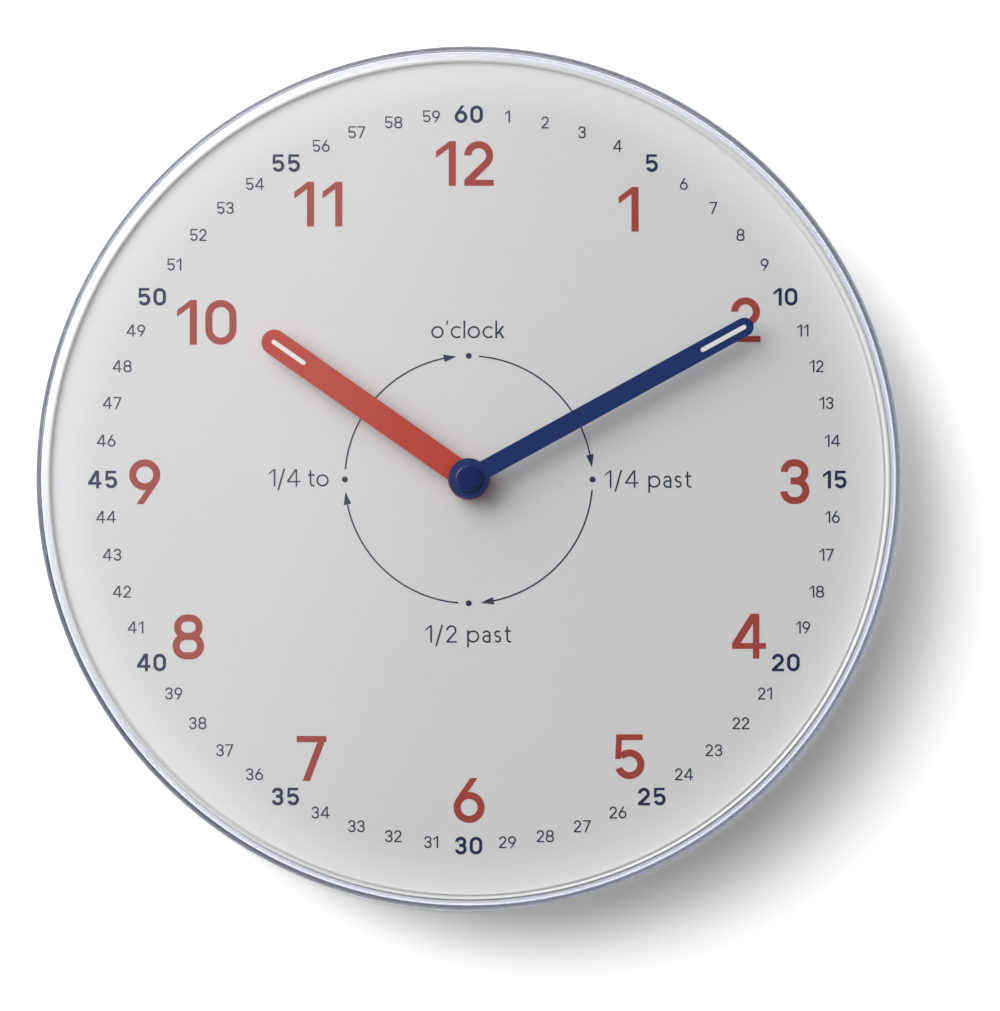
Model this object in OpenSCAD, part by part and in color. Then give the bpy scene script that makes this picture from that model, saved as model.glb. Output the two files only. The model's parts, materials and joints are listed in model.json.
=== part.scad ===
// Teaching wall clock: a round white case under a clear cover, a printed dial,
// a red hour hand, a blue minute hand and a quartz movement behind the dial.
// Sizes are in millimetres. Every piece is drawn face up: X points to 3 o'clock, Y to 12 o'clock and
// Z from the wall to the viewer. The finished clock is then stood up, with the origin at half its depth.

/* [Dial and case] */
// Diameter of the printed dial
dial_diameter = 192.4; // [180:0.4:220]
// Thickness of the dial sheet
dial_thickness = 0.8; // [0.5:0.1:1.5]
// Gap between the edge of the dial and the rim around it
dial_edge_gap = 0.6; // [0.2:0.1:1]
// Wall of the rim around the dial
rim_wall = 1.3; // [1:0.1:2]
// Height of the rim above the face of the dial
rim_rise = 1.2; // [0.8:0.1:2]
// Floor of the carrier that the dial is glued to
carrier_floor = 2; // [1.5:0.1:3]
// Gap between the rim and the clear cover
cover_gap = 0.3; // [0.2:0.05:0.5]
// Side wall of the clear cover
cover_wall = 1.6; // [1.2:0.1:2.4]
// Thickness of the window in the clear cover
window_thickness = 2; // [1.5:0.1:3]
// Radius of the outer front edge of the clear cover
cover_edge_radius = 2.4; // [1.2:0.1:3]
// Radius of the inner front edge of the clear cover
cover_inner_radius = 0.8; // [0.4:0.1:1]
// Room between the hand cap and the window
window_clearance = 3.2; // [1.5:0.1:6]
// Thickness of the rear cover
back_thickness = 2; // [1.6:0.1:3]
// Chamfer on the rear edge of the rear cover
back_chamfer = 0.6; // [0.2:0.1:1]

/* [Cover snaps] */
// Number of snap beads that hold the clear cover
snap_count = 6; // [3:1:10]
// Arc that one snap bead covers, in degrees
snap_arc = 20; // [8:1:30]
// How far a bead reaches into the wall of the clear cover
snap_bite = 0.25; // [0.15:0.05:0.4]
// Half of the length of a bead along the case
snap_half_length = 0.8; // [0.5:0.1:1.5]
// Clearance around a bead in its groove
snap_clearance = 0.1; // [0.05:0.05:0.2]
// Distance of the beads in front of the rear cover
snap_height = 4; // [2:0.5:8]
// Room at each end of a groove beyond its bead, in degrees
snap_end_room = 0.5; // [0.3:0.1:2]

/* [Hanging] */
// Diameter of the hole that the head of the wall screw goes through
hanging_hole_diameter = 8.4; // [7:0.2:10]
// Width of the slot that the shank of the wall screw slides up
hanging_slot_width = 4.2; // [3:0.1:5]
// Rise of the slot above the hole
hanging_slot_rise = 8; // [6:0.5:12]
// Height of the hanging hole above the hand axis
hanging_hole_height = 58; // [45:1:70]

/* [Screws] */
// Number of screws that hold the rear cover
case_screw_count = 6; // [4:1:8]
// Distance of the case screws inside the rim
case_screw_inset = 8; // [6:0.5:14]
// Diameter of the shank of the case and movement screws
screw_shank = 2.6; // [2:0.1:3]
// Length of the shank of a case screw
case_screw_length = 9; // [6:0.5:12]
// Diameter of the screw heads
screw_head = 5.2; // [4.4:0.1:6]
// Height of the screw heads
screw_head_height = 1.5; // [1:0.1:2]
// Wall of a screw boss around its shank
boss_wall = 2; // [1.5:0.1:3]
// Length of the shank of a movement screw
movement_screw_length = 6; // [4.5:0.5:7]
// Diameter of the shank of the lid screws
lid_screw_shank = 1.8; // [1.4:0.1:2.2]
// Diameter of the heads of the lid screws
lid_screw_head = 3.4; // [2.8:0.1:4]
// Length of the shank of a lid screw
lid_screw_length = 6; // [4:0.5:8]
// Wall of a lid post around its screw
lid_post_wall = 1.2; // [1:0.1:1.6]
// Width of the driver slot in the screw heads
driver_slot = 0.6; // [0.4:0.1:0.8]
// Depth of the driver slot in the screw heads
driver_slot_depth = 0.5; // [0.3:0.1:0.8]
// Clearance around a screw
screw_clearance = 0.05; // [0.02:0.01:0.15]

/* [Hands] */
// Hour that the hands show
shown_hour = 10; // [0:1:11]
// Minute that the hands show
shown_minute = 10.2; // [0:0.1:59.9]
// Length of the hour hand from the hand axis
hour_hand_length = 58; // [45:0.5:65]
// Width of the hour hand
hour_hand_width = 5.9; // [4:0.1:8]
// Length of the minute hand from the hand axis
minute_hand_length = 75; // [65:0.5:85]
// Width of the minute hand
minute_hand_width = 4.3; // [3:0.1:6]
// Thickness of the hand blades
hand_thickness = 0.6; // [0.4:0.1:1]
// Diameter of the hub of the hour hand
hour_hub_diameter = 9.6; // [8:0.1:12]
// Length of the hub of the hour hand along the axis
hour_hub_length = 2; // [1.4:0.1:3]
// Diameter of the hub of the minute hand
minute_hub_diameter = 9.3; // [8:0.1:12]
// Length of the hub of the minute hand along the axis
minute_hub_length = 1.6; // [1.2:0.1:3]
// Running gap between the bush, the hour hand and the minute hand
hand_gap = 0.8; // [0.5:0.1:1.5]
// Diameter of the cap on the minute hand
hand_cap_diameter = 6.2; // [4:0.1:8]
// Height of the cap on the minute hand
hand_cap_height = 1.2; // [0.8:0.1:2]
// Edge radius of the cap on the minute hand
hand_cap_radius = 0.5; // [0.2:0.1:0.7]
// Width of the pale inlays in the hands
inlay_width = 1.1; // [0.8:0.1:1.6]
// Depth of the pale inlays in the hands
inlay_depth = 0.3; // [0.2:0.05:0.35]
// Length of the inlay in the hour hand
hour_inlay_length = 9.5; // [6:0.5:14]
// Distance of that inlay from the tip of the hour hand
hour_inlay_inset = 2.3; // [1.5:0.1:4]
// Length of the inlay in the minute hand
minute_inlay_length = 12; // [8:0.5:18]
// Distance of that inlay from the tip of the minute hand
minute_inlay_inset = 1.7; // [1.2:0.1:4]
// Clearance around an inlay in its pocket
inlay_clearance = 0.03; // [0.02:0.01:0.06]

/* [Movement] */
// Depth of the movement housing along the hand axis
movement_depth = 17.2; // [17:0.1:20]
// Gap between the rear cover and the movement housing
movement_gap = 0.3; // [0.1:0.1:0.6]
// Outer wall of the movement housing
housing_wall = 1.5; // [1.2:0.1:2]
// Corner radius of the movement housing
housing_corner = 2.5; // [1.6:0.1:3]
// Front plate of the movement housing
front_plate = 1.5; // [1.3:0.1:2]
// Distance of the hand axis below the top of the train compartment
axis_to_top = 27.5; // [26.5:0.5:32]
// Distance of the hand axis above the bottom of the train compartment
axis_to_bay = 11.4; // [11.2:0.1:13]
// Wall between the train compartment and the battery bay
bay_wall = 1; // [0.8:0.1:1.5]
// Distance of the lid inside the rear edge of the housing
lid_recess = 2.2; // [1.8:0.1:2.6]
// Thickness of the lid
lid_thickness = 1.5; // [1.3:0.1:2]
// Clearance around the lid
lid_clearance = 0.3; // [0.1:0.05:0.5]
// Distance of the lid posts inside the walls
lid_post_inset = 2.7; // [2.4:0.1:3.5]
// Height of the lower lid post above the battery bay
lower_post_rise = 3.5; // [3:0.1:4.5]
// Reach of the mounting ears beside the housing
ear_reach = 9; // [8:0.5:12]
// Height of one mounting ear
ear_height = 10; // [8:0.5:14]
// Thickness of the mounting ears
ear_thickness = 2; // [1.5:0.1:3]
// Height of the mounting ears above and below the hand axis
ear_offset = 18; // [10:0.5:23]
// Height of the carrier bosses that the ears stand on
ear_boss_height = 5; // [4.2:0.1:7]

/* [Battery] */
// Diameter of the cell
battery_diameter = 14.5; // [13.8:0.1:14.9]
// Length of the cell with its button
battery_length = 50.5; // [49.5:0.1:51]
// Diameter of the button on the cell
button_diameter = 5.4; // [4:0.1:5.5]
// Height of the button on the cell
button_height = 1.4; // [1:0.1:2]
// Edge chamfer of the cell
battery_chamfer = 0.5; // [0.2:0.1:0.8]
// Clearance around the cell in its bay
battery_clearance = 0.3; // [0.2:0.05:0.6]
// Room for the contact at each end of the cell
contact_room = 2.25; // [1.8:0.05:3]
// Thickness of the contact sheet
contact_sheet = 0.4; // [0.3:0.05:0.5]
// Gap between a contact leaf and the cell
contact_gap = 0.25; // [0.1:0.05:0.4]
// Width of a contact leaf
contact_width = 6; // [4:0.5:8]
// Length of a contact leaf along the bay's depth
contact_length = 8; // [6:0.5:10]
// Width of the strips that lead from the contacts to the circuit board
strip_width = 2; // [1:0.1:2.5]
// Thickness of the ribs that the cell lies on
saddle_rib = 1.5; // [1:0.1:3]
// Distance between the ribs that the cell lies on
saddle_spacing = 24; // [16:1:34]

/* [Shafts] */
// Radius of the minute arbor
minute_arbor_radius = 1.6; // [1.4:0.05:1.7]
// Wall of the hour pipe around the minute arbor
hour_pipe_wall = 0.8; // [0.6:0.05:1]
// Wall of the bush around the hour pipe
bush_wall = 1.3; // [1:0.1:1.8]
// Height of the bush above the dial
bush_rise = 1.3; // [0.8:0.1:2]
// Radial running clearance of the hour pipe and the minute arbor
pipe_clearance = 0.1; // [0.06:0.01:0.1]
// Clearance of the bush in the carrier and the dial
bush_clearance = 0.3; // [0.1:0.05:0.5]
// Clearance of the hands on their shafts
hand_fit = 0.02; // [0.01:0.01:0.04]
// Radius of the wheel arbors
arbor_radius = 0.6; // [0.5:0.05:0.7]
// Radius of the pivots at the ends of the arbors
pivot_radius = 0.4; // [0.3:0.05:0.45]
// Length of a pivot in its plate
pivot_length = 0.8; // [0.6:0.05:0.9]
// Radial clearance of a pivot
pivot_clearance = 0.05; // [0.03:0.01:0.08]
// End play of an arbor between the plates
end_play = 0.2; // [0.1:0.05:0.3]
// Radius of the stud that the minute wheel turns on
stud_radius = 0.9; // [0.8:0.05:0.95]
// Radius of the shaft of the setting knob
knob_shaft_radius = 1.5; // [1.2:0.05:1.6]
// Diameter of the setting knob
knob_diameter = 11; // [9:0.5:12]
// Height of the setting knob
knob_height = 3.3; // [2.5:0.1:3.4]
// Gap between the setting knob and the lid
knob_gap = 0.3; // [0.2:0.05:0.5]
// Number of grips around the setting knob
knob_grips = 18; // [12:1:30]
// Radius of one grip notch
knob_grip_radius = 0.4; // [0.2:0.05:0.6]

/* [Gear train] */
// Thickness of the wheels
wheel_thickness = 1; // [0.8:0.05:1.1]
// Gap between wheels that pass over each other
wheel_gap = 0.8; // [0.7:0.05:0.9]
// How far a pinion stands past its wheel on each side
pinion_overhang = 0.2; // [0.1:0.05:0.3]
// Room for the clutch between the centre wheel and the cannon pinion
clutch_room = 1.4; // [1.2:0.05:1.5]
// Thickness of the clutch spring
clutch_thickness = 0.4; // [0.3:0.05:0.5]
// Number of arms of the clutch spring
clutch_arms = 3; // [2:1:6]
// Reach of the arms of the clutch spring
clutch_reach = 4.5; // [3.5:0.1:6]
// Module of the centre wheel and the third pinion
centre_module = 0.34; // [0.33:0.005:0.36]
// Module of the third wheel and the fourth pinion
third_module = 0.28; // [0.27:0.005:0.29]
// Module of the fourth wheel and the fifth pinion
fourth_module = 0.28; // [0.27:0.005:0.29]
// Module of the fifth wheel and the rotor pinion
fifth_module = 0.22; // [0.21:0.005:0.24]
// Module of the cannon pinion and the minute wheel
motion_module = 0.35; // [0.34:0.005:0.36]
// Direction from the centre wheel to the third wheel
third_direction = 150; // [146:1:154]
// Direction from the third wheel to the fourth wheel
fourth_direction = 80; // [76:1:84]
// Direction from the fourth wheel to the fifth wheel
fifth_direction = 10; // [6:1:14]
// Direction from the fifth wheel to the rotor
rotor_direction = 0; // [-4:1:4]
// Direction from the hand axis to the minute wheel
minute_wheel_direction = 0; // [-4:1:4]
// Direction from the minute wheel to the setting knob
knob_direction = -20; // [-24:1:-16]

/* [Motor and electronics] */
// Radius of the rotor magnet
magnet_radius = 1.8; // [1.5:0.1:2]
// Length of the rotor magnet
magnet_length = 2.4; // [1.8:0.1:2.6]
// Air gap between the rotor magnet and the stator
air_gap = 0.4; // [0.3:0.05:0.6]
// Thickness of the stator plate
stator_thickness = 1; // [0.8:0.1:1.2]
// Width of the stator legs
stator_leg = 2.4; // [2:0.1:2.6]
// Wall of the stator around the rotor
stator_wall = 1; // [0.8:0.1:1.2]
// Distance of the coil axis inside the side wall of the housing
coil_inset = 6; // [5.5:0.1:6.5]
// Length of the coil bobbin
bobbin_length = 13.4; // [10:0.1:14]
// Radius of the bobbin flanges
bobbin_flange_radius = 3.7; // [3.3:0.1:4]
// Thickness of the bobbin flanges
bobbin_flange = 0.8; // [0.6:0.1:1]
// Wall of the bobbin tube around the coil core
bobbin_wall = 0.6; // [0.5:0.05:0.8]
// Depth of the bare flange edge above the winding
winding_depth = 0.5; // [0.3:0.1:0.8]
// Thickness of the coil core
core_thickness = 1.2; // [0.8:0.1:1.4]
// Length of the circuit board
board_length = 17; // [15:0.5:17.5]
// Height of the circuit board
board_height = 6.4; // [5.6:0.1:6.6]
// Thickness of the circuit board
board_thickness = 1; // [0.8:0.1:1.2]
// Distance of the circuit board behind the front plate
board_standoff = 8; // [7:0.1:8.5]
// Distance of the circuit board from the side wall
board_inset = 1; // [0.8:0.1:1.5]
// Radius of the quartz crystal can
crystal_radius = 1; // [0.8:0.05:1.1]
// Length of the quartz crystal can
crystal_length = 6; // [5:0.1:7]
// Radius of the sealed driver chip
chip_radius = 2; // [1.5:0.1:2.4]
// Height of the sealed driver chip
chip_height = 0.9; // [0.6:0.1:1.2]
// Radius of the posts that carry the circuit board and the stator
post_radius = 1.1; // [0.9:0.05:1.2]
// Radius of the pins on those posts
post_pin_radius = 0.5; // [0.4:0.05:0.6]
// How far those pins stand past what they hold
post_pin_rise = 0.4; // [0.2:0.05:0.6]

/* [Hidden] */
$fn = 96;
cut_margin = 0.5;
minutes_in_hour = 60;
hours_on_dial = 12;

// Teeth of the going train, which turns the fourth wheel 60 times and the rotor 1800 times in an hour
centre_teeth = 60;
third_teeth = 64;
fourth_teeth = 40;
fifth_teeth = 48;
train_leaves = 8;

// Teeth of the motion work, which turns the hour wheel once for 12 turns of the minute arbor
cannon_leaves = 12;
minute_wheel_teeth = 36;
minute_pinion_leaves = 10;
hour_wheel_teeth = 40;

// Planes across the hand axis, counted from the wall
housing_rear = back_thickness + movement_gap;
housing_front = housing_rear + movement_depth;
plate_inner = housing_front - front_plate;
lid_rear = housing_rear + lid_recess;
lid_front = lid_rear + lid_thickness;
floor_front = housing_front + carrier_floor;
dial_front = floor_front + dial_thickness;
rim_front = dial_front + rim_rise;
bush_front = dial_front + bush_rise;
hour_hub_rear = bush_front + hand_gap;
hour_hub_front = hour_hub_rear + hour_hub_length;
minute_hub_rear = hour_hub_front + hand_gap;
minute_hub_front = minute_hub_rear + minute_hub_length;
hand_cap_front = minute_hub_front + hand_cap_height;
window_inner = hand_cap_front + window_clearance;
case_depth = window_inner + window_thickness;

// Radii of the case, from the dial outwards
dial_radius = dial_diameter / 2;
rim_inner = dial_radius + dial_edge_gap;
rim_outer = rim_inner + rim_wall;
cover_inner = rim_outer + cover_gap;
case_radius = cover_inner + cover_wall;
rim_edge = rim_wall / 2;

// Shafts on the hand axis
pipe_bore = minute_arbor_radius + pipe_clearance;
pipe_radius = pipe_bore + hour_pipe_wall;
bush_bore = pipe_radius + pipe_clearance;
bush_radius = bush_bore + bush_wall;
bush_hole = bush_radius + bush_clearance;
pivot_hole = pivot_radius + pivot_clearance;

// Walls of the movement housing
inner_half_width = battery_length / 2 + contact_room;
outer_half_width = inner_half_width + housing_wall;
bay_top = -axis_to_bay - bay_wall;
bay_bottom = bay_top - battery_diameter - 2 * battery_clearance;
battery_height = (bay_top + bay_bottom) / 2;
battery_level = plate_inner - 2 * battery_clearance - battery_diameter / 2;

// Screws
screw_radius = screw_shank / 2;
screw_hole = screw_radius + screw_clearance;
boss_radius = screw_radius + boss_wall;
head_radius = screw_head / 2;
case_screw_circle = rim_inner - case_screw_inset;
case_screw_seat = back_thickness - screw_head_height;
lid_screw_radius = lid_screw_shank / 2;
lid_screw_hole = lid_screw_radius + screw_clearance;
lid_head_radius = lid_screw_head / 2;
lid_head_height = lid_head_radius - lid_screw_radius;
lid_post_radius = lid_screw_hole + lid_post_wall;
ear_front = housing_front - ear_boss_height;
ear_rear = ear_front - ear_thickness;
ear_screw_x = outer_half_width + ear_reach / 2;

// Hands
minute_angle = 360 * shown_minute / minutes_in_hour;
hour_angle = 360 * (shown_hour + shown_minute / minutes_in_hour) / hours_on_dial;

// Tooth proportions: addendum and dedendum in modules, half widths at root and tip in pitches
wheel_tooth = [0.7, 1.3, 0.3, 0.12];
pinion_leaf = [0.95, 1.1, 0.24, 0.1];

// Planes of the wheels, each given by its rear face
hour_plane = plate_inner - wheel_gap - wheel_thickness;
motion_plane = hour_plane - wheel_gap - wheel_thickness;
centre_plane = motion_plane - clutch_room - wheel_thickness;
third_plane = centre_plane - wheel_gap - wheel_thickness;
fifth_plane = third_plane - wheel_gap - wheel_thickness;

// Centres of the wheels in the plane of the dial
motion_distance = motion_module * (cannon_leaves + minute_wheel_teeth) / 2;
hour_module = 2 * motion_distance / (minute_pinion_leaves + hour_wheel_teeth);
third_at = step_to([0, 0], centre_teeth, train_leaves, centre_module, third_direction);
fourth_at = step_to(third_at, third_teeth, train_leaves, third_module, fourth_direction);
fifth_at = step_to(fourth_at, fourth_teeth, train_leaves, fourth_module, fifth_direction);
rotor_at = step_to(fifth_at, fifth_teeth, train_leaves, fifth_module, rotor_direction);
minute_wheel_at = step_to([0, 0], cannon_leaves, minute_wheel_teeth, motion_module, minute_wheel_direction);
knob_at = step_to(minute_wheel_at, minute_wheel_teeth, cannon_leaves, motion_module, knob_direction);

// Angles of the pinions and wheels that set each mesh tooth into gap
third_phase = mesh_phase(third_direction, centre_teeth, 0, train_leaves);
fourth_phase = mesh_phase(fourth_direction, third_teeth, 0, train_leaves);
fifth_phase = mesh_phase(fifth_direction, fourth_teeth, 0, train_leaves);
rotor_phase = mesh_phase(rotor_direction, fifth_teeth, 0, train_leaves);
minute_wheel_phase = mesh_phase(minute_wheel_direction, cannon_leaves, 0, minute_wheel_teeth);
hour_wheel_phase = mesh_phase(minute_wheel_direction + 180, minute_pinion_leaves, 0, hour_wheel_teeth);
knob_phase = mesh_phase(knob_direction, minute_wheel_teeth, minute_wheel_phase, cannon_leaves);

// Motor
magnet_rear = fifth_plane + wheel_thickness + pinion_overhang + wheel_gap;
stator_rear = magnet_rear + (magnet_length - stator_thickness) / 2;
stator_front = stator_rear + stator_thickness;
stator_hole = magnet_radius + air_gap;
stator_half = stator_hole + stator_wall;
coil_x = inner_half_width - coil_inset;
core_front = stator_front + core_thickness;
core_middle = (stator_front + core_front) / 2;
bobbin_bore = stator_leg / 2 + screw_clearance;
bobbin_tube = bobbin_bore + bobbin_wall;
winding_radius = bobbin_flange_radius - winding_depth;
stator_top = rotor_at[1] + stator_half + stator_leg / 2;
bobbin_top = stator_top - stator_leg - screw_clearance;
bobbin_bottom = bobbin_top - bobbin_length;
stator_bottom = bobbin_bottom - screw_clearance - stator_leg;
side_leg_right = coil_x - bobbin_flange_radius - end_play;
side_leg_left = side_leg_right - stator_leg;
mid_leg_bottom = rotor_at[1] - stator_half;
stator_posts = [
    [(rotor_at[0] + coil_x) / 2, stator_top - stator_leg / 2],
    [(rotor_at[0] + stator_half + side_leg_left) / 2, mid_leg_bottom + stator_leg / 2],
    [side_leg_left + stator_leg / 2, (stator_bottom + mid_leg_bottom) / 2],
];

// Circuit board
board_front = plate_inner - board_standoff;
board_rear = board_front - board_thickness;
board_left = -inner_half_width + board_inset;
board_bottom = -axis_to_bay + contact_sheet;
board_middle = board_bottom + board_height / 2;
board_posts = [
    [board_left + 2 * post_radius, board_middle],
    [board_left + board_length - 2 * post_radius, board_middle],
];
strip_rear = board_front - board_thickness - strip_width;
contact_rear = battery_level - contact_length / 2;

// Screw places
lid_posts = [
    [-inner_half_width + lid_post_inset, axis_to_top - lid_post_inset],
    [inner_half_width - lid_post_inset, axis_to_top - lid_post_inset],
    [inner_half_width - lid_post_inset, -axis_to_bay + lower_post_rise],
];
case_screws_at = [for (i = [0:case_screw_count - 1]) turn(case_screw_circle, 360 * i / case_screw_count)];
ears_at = [for (side = [-1, 1]) for (level = [-1, 1]) [side * ear_screw_x, level * ear_offset]];

// Point at a radius and an angle
function turn(radius, angle) = [radius * cos(angle), radius * sin(angle)];

// Centre of a wheel that meshes with one at a given place
function step_to(place, teeth, other_teeth, size, direction) =
    place + turn(size * (teeth + other_teeth) / 2, direction);

// Angle that puts a gap of the second wheel where the first wheel has a tooth
function mesh_phase(direction, teeth, phase, other_teeth) =
    direction + 180 - (0.5 - (direction - phase) * teeth / 360) * 360 / other_teeth;

// Outline of a wheel with straight-sided teeth, four corners to a tooth
function gear_outline(teeth, size, tooth) =
    let (
        pitch_radius = size * teeth / 2,
        tip = pitch_radius + size * tooth[0],
        root = pitch_radius - size * tooth[1],
        corners = [[root, -tooth[2]], [tip, -tooth[3]], [tip, tooth[3]], [root, tooth[2]]]
    )
    [for (i = [0:teeth - 1]) for (c = corners) turn(c[0], 360 * (i + c[1]) / teeth)];

// Stand the clock up, with its wall side at +Y and 12 o'clock at +Z
module upright() {
    translate([0, case_depth / 2, 0]) rotate([90, 0, 0]) children();
}

// Move to a place in the plane of the dial
module at(place) {
    translate([place[0], place[1], 0]) children();
}

// Extrude an outline between two planes
module slab(rear, front) {
    translate([0, 0, rear]) linear_extrude(front - rear) children();
}

// Round bar between two planes
module rod(rear, front, radius) {
    translate([0, 0, rear]) cylinder(h = front - rear, r = radius);
}

// Rectangle between two corners
module box_outline(left, bottom, right, top) {
    translate([left, bottom]) square([right - left, top - bottom]);
}

// Rectangle between two corners, with round corners
module round_outline(left, bottom, right, top, radius) {
    box_outline(left + radius, bottom, right - radius, top);
    box_outline(left, bottom + radius, right, top - radius);
    for (x = [left + radius, right - radius]) {
        for (y = [bottom + radius, top - radius]) {
            translate([x, y]) circle(radius);
        }
    }
}

// Strip with round ends from one distance along +Y to another
module strip_outline(start, end, width) {
    box_outline(-width / 2, start + width / 2, width / 2, end - width / 2);
    translate([0, start + width / 2]) circle(width / 2);
    translate([0, end - width / 2]) circle(width / 2);
}

// Half section of a disc with a round outer front edge
module disc_section(rear, front, radius, edge) {
    box_outline(0, rear, radius, front - edge);
    box_outline(0, rear, radius - edge, front);
    translate([radius - edge, front - edge]) circle(edge);
}

// Section of a snap bead: a wedge rooted in the rim wall, with its length taken at the wall's face
module bead_section(rise, half_length) {
    middle = back_thickness + snap_height;
    root = rim_wall / 2;
    root_half_length = half_length * (1 + root / rise);
    polygon([
        [rim_outer - root, middle - root_half_length],
        [rim_outer + rise, middle],
        [rim_outer - root, middle + root_half_length],
    ]);
}

// Snap beads, evenly spaced around the case
module snap_beads(rise, half_length, arc) {
    for (i = [0:snap_count - 1]) {
        rotate([0, 0, 360 * i / snap_count - arc / 2]) {
            rotate_extrude(angle = arc) bead_section(rise, half_length);
        }
    }
}

// Wheel or pinion between two planes
module gear(rear, front, teeth, size, tooth, phase) {
    slab(rear, front) rotate([0, 0, phase]) polygon(gear_outline(teeth, size, tooth));
}

// Arbor with a pivot at each end, between the lid and the front plate
module arbor() {
    rod(lid_front - pivot_length, plate_inner + pivot_length, pivot_radius);
    rod(lid_front + end_play, plate_inner - end_play, arbor_radius);
}

// Pinion of the going train, on both sides of the wheel plane that drives it
module train_pinion(plane, size, phase) {
    rear = plane - pinion_overhang;
    front = plane + wheel_thickness + pinion_overhang;
    gear(rear, front, train_leaves, size, pinion_leaf, phase);
}

// Wheel of the going train
module train_wheel(plane, teeth, size) {
    gear(plane, plane + wheel_thickness, teeth, size, wheel_tooth, 0);
}

// Holes for the pivots of the train, cut into a plate from one face towards the rear or the front
module pivot_holes(face, side) {
    hole_depth = side * (pivot_length + end_play);
    for (place = [third_at, fourth_at, fifth_at, rotor_at]) {
        at(place) rod(min(face, face + hole_depth), max(face, face + hole_depth), pivot_hole);
    }
}

// Screw with a flat-topped cone head that ends flush with a plane, and a driver slot
module cone_screw(head_plane, head_height, head, shank, length) {
    difference() {
        union() {
            translate([0, 0, head_plane]) cylinder(h = head_height, r1 = head, r2 = shank);
            rod(head_plane + head_height, head_plane + head_height + length, shank);
        }
        translate([-head, -driver_slot / 2, head_plane - cut_margin]) {
            cube([2 * head, driver_slot, driver_slot_depth + cut_margin]);
        }
    }
}

// Cone that clears the head of such a screw, with the hole for its shank
module cone_hole(head_plane, head_height, head, shank, length) {
    translate([0, 0, head_plane]) {
        cylinder(h = head_height, r1 = head + screw_clearance, r2 = shank + screw_clearance);
    }
    rod(head_plane - cut_margin, head_plane, head + screw_clearance);
    rod(head_plane, head_plane + head_height + length + screw_clearance, shank + screw_clearance);
}

// Post from the front plate, with a pin through the piece that stands on it
module post(place, seat, thickness) {
    at(place) {
        rod(seat, plate_inner + cut_margin, post_radius);
        rod(seat - thickness - post_pin_rise, plate_inner, post_pin_radius);
    }
}

// Clear cover: side wall and window in one moulding
module clear_cover() {
    color([0.86, 0.89, 0.96, 0.35]) upright() difference() {
        rotate_extrude() difference() {
            disc_section(back_thickness, case_depth, case_radius, cover_edge_radius);
            disc_section(back_thickness - cut_margin, window_inner, cover_inner, cover_inner_radius);
        }
        snap_beads(
            cover_gap + snap_bite + snap_clearance,
            snap_half_length + snap_clearance,
            snap_arc + 2 * snap_end_room
        );
    }
}

// Flat rear cover with the hanging keyhole and the movement window
module rear_cover() {
    color("whitesmoke") upright() difference() {
        rotate_extrude() polygon([
            [0, 0],
            [case_radius - back_chamfer, 0],
            [case_radius, back_chamfer],
            [case_radius, back_thickness],
            [0, back_thickness],
        ]);
        slab(-cut_margin, back_thickness + cut_margin) {
            box_outline(-inner_half_width, bay_bottom, inner_half_width, axis_to_top);
            translate([0, hanging_hole_height]) {
                circle(d = hanging_hole_diameter);
                strip_outline(0, hanging_slot_rise + hanging_slot_width / 2, hanging_slot_width);
            }
        }
        for (place = case_screws_at) {
            at(place) {
                cone_hole(case_screw_seat, screw_head_height, head_radius, screw_radius, case_screw_length);
            }
        }
    }
}

// Screws that hold the rear cover to the carrier
module case_screws() {
    color("silver") upright() for (place = case_screws_at) {
        at(place) {
            cone_screw(case_screw_seat, screw_head_height, head_radius, screw_radius, case_screw_length);
        }
    }
}

// Carrier: the floor behind the dial, the rim around it and the screw bosses
module dial_carrier() {
    boss_root = housing_front + carrier_floor / 2;
    color("white") upright() difference() {
        union() {
            rotate_extrude() {
                box_outline(bush_hole, housing_front, rim_inner + rim_edge, floor_front);
                box_outline(rim_inner, back_thickness, rim_outer, rim_front - rim_edge);
                translate([rim_inner + rim_edge, rim_front - rim_edge]) circle(rim_edge);
            }
            snap_beads(cover_gap + snap_bite, snap_half_length, snap_arc);
            for (place = case_screws_at) {
                at(place) rod(back_thickness, boss_root, boss_radius);
            }
            for (place = ears_at) {
                at(place) rod(ear_front, boss_root, boss_radius);
            }
        }
        for (place = case_screws_at) {
            at(place) {
                rod(back_thickness - cut_margin, back_thickness + case_screw_length + cut_margin, screw_hole);
            }
        }
        for (place = ears_at) {
            at(place) {
                rod(ear_front - cut_margin, ear_rear + movement_screw_length + cut_margin, screw_hole);
            }
        }
    }
}

// Printed dial sheet, glued to the floor of the carrier
module dial() {
    color("gainsboro") upright() slab(floor_front, dial_front) difference() {
        circle(dial_radius);
        circle(bush_hole);
    }
}

// Hand with a hub, a round-ended blade and a pocket for its inlay
module hand(rear, front, hub_radius, bore, length, width, inlay_length, inlay_inset) {
    difference() {
        union() {
            rod(rear, front, hub_radius);
            slab(front - hand_thickness, front) strip_outline(-width / 2, length, width);
        }
        rod(rear - cut_margin, front + cut_margin, bore);
        slab(front - inlay_depth, front + cut_margin) {
            strip_outline(length - inlay_inset - inlay_length, length - inlay_inset, inlay_width);
        }
    }
}

// Pale inlay that fills the pocket of a hand
module hand_inlay(front, length, inlay_length, inlay_inset) {
    slab(front - inlay_depth, front) {
        strip_outline(
            length - inlay_inset - inlay_length + inlay_clearance,
            length - inlay_inset - inlay_clearance,
            inlay_width - 2 * inlay_clearance
        );
    }
}

// Hour hand on the hour pipe
module hour_hand() {
    color([0.72, 0.31, 0.27]) upright() rotate([0, 0, -hour_angle]) {
        hand(
            hour_hub_rear, hour_hub_front, hour_hub_diameter / 2, pipe_radius + hand_fit,
            hour_hand_length, hour_hand_width, hour_inlay_length, hour_inlay_inset
        );
    }
}

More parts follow.
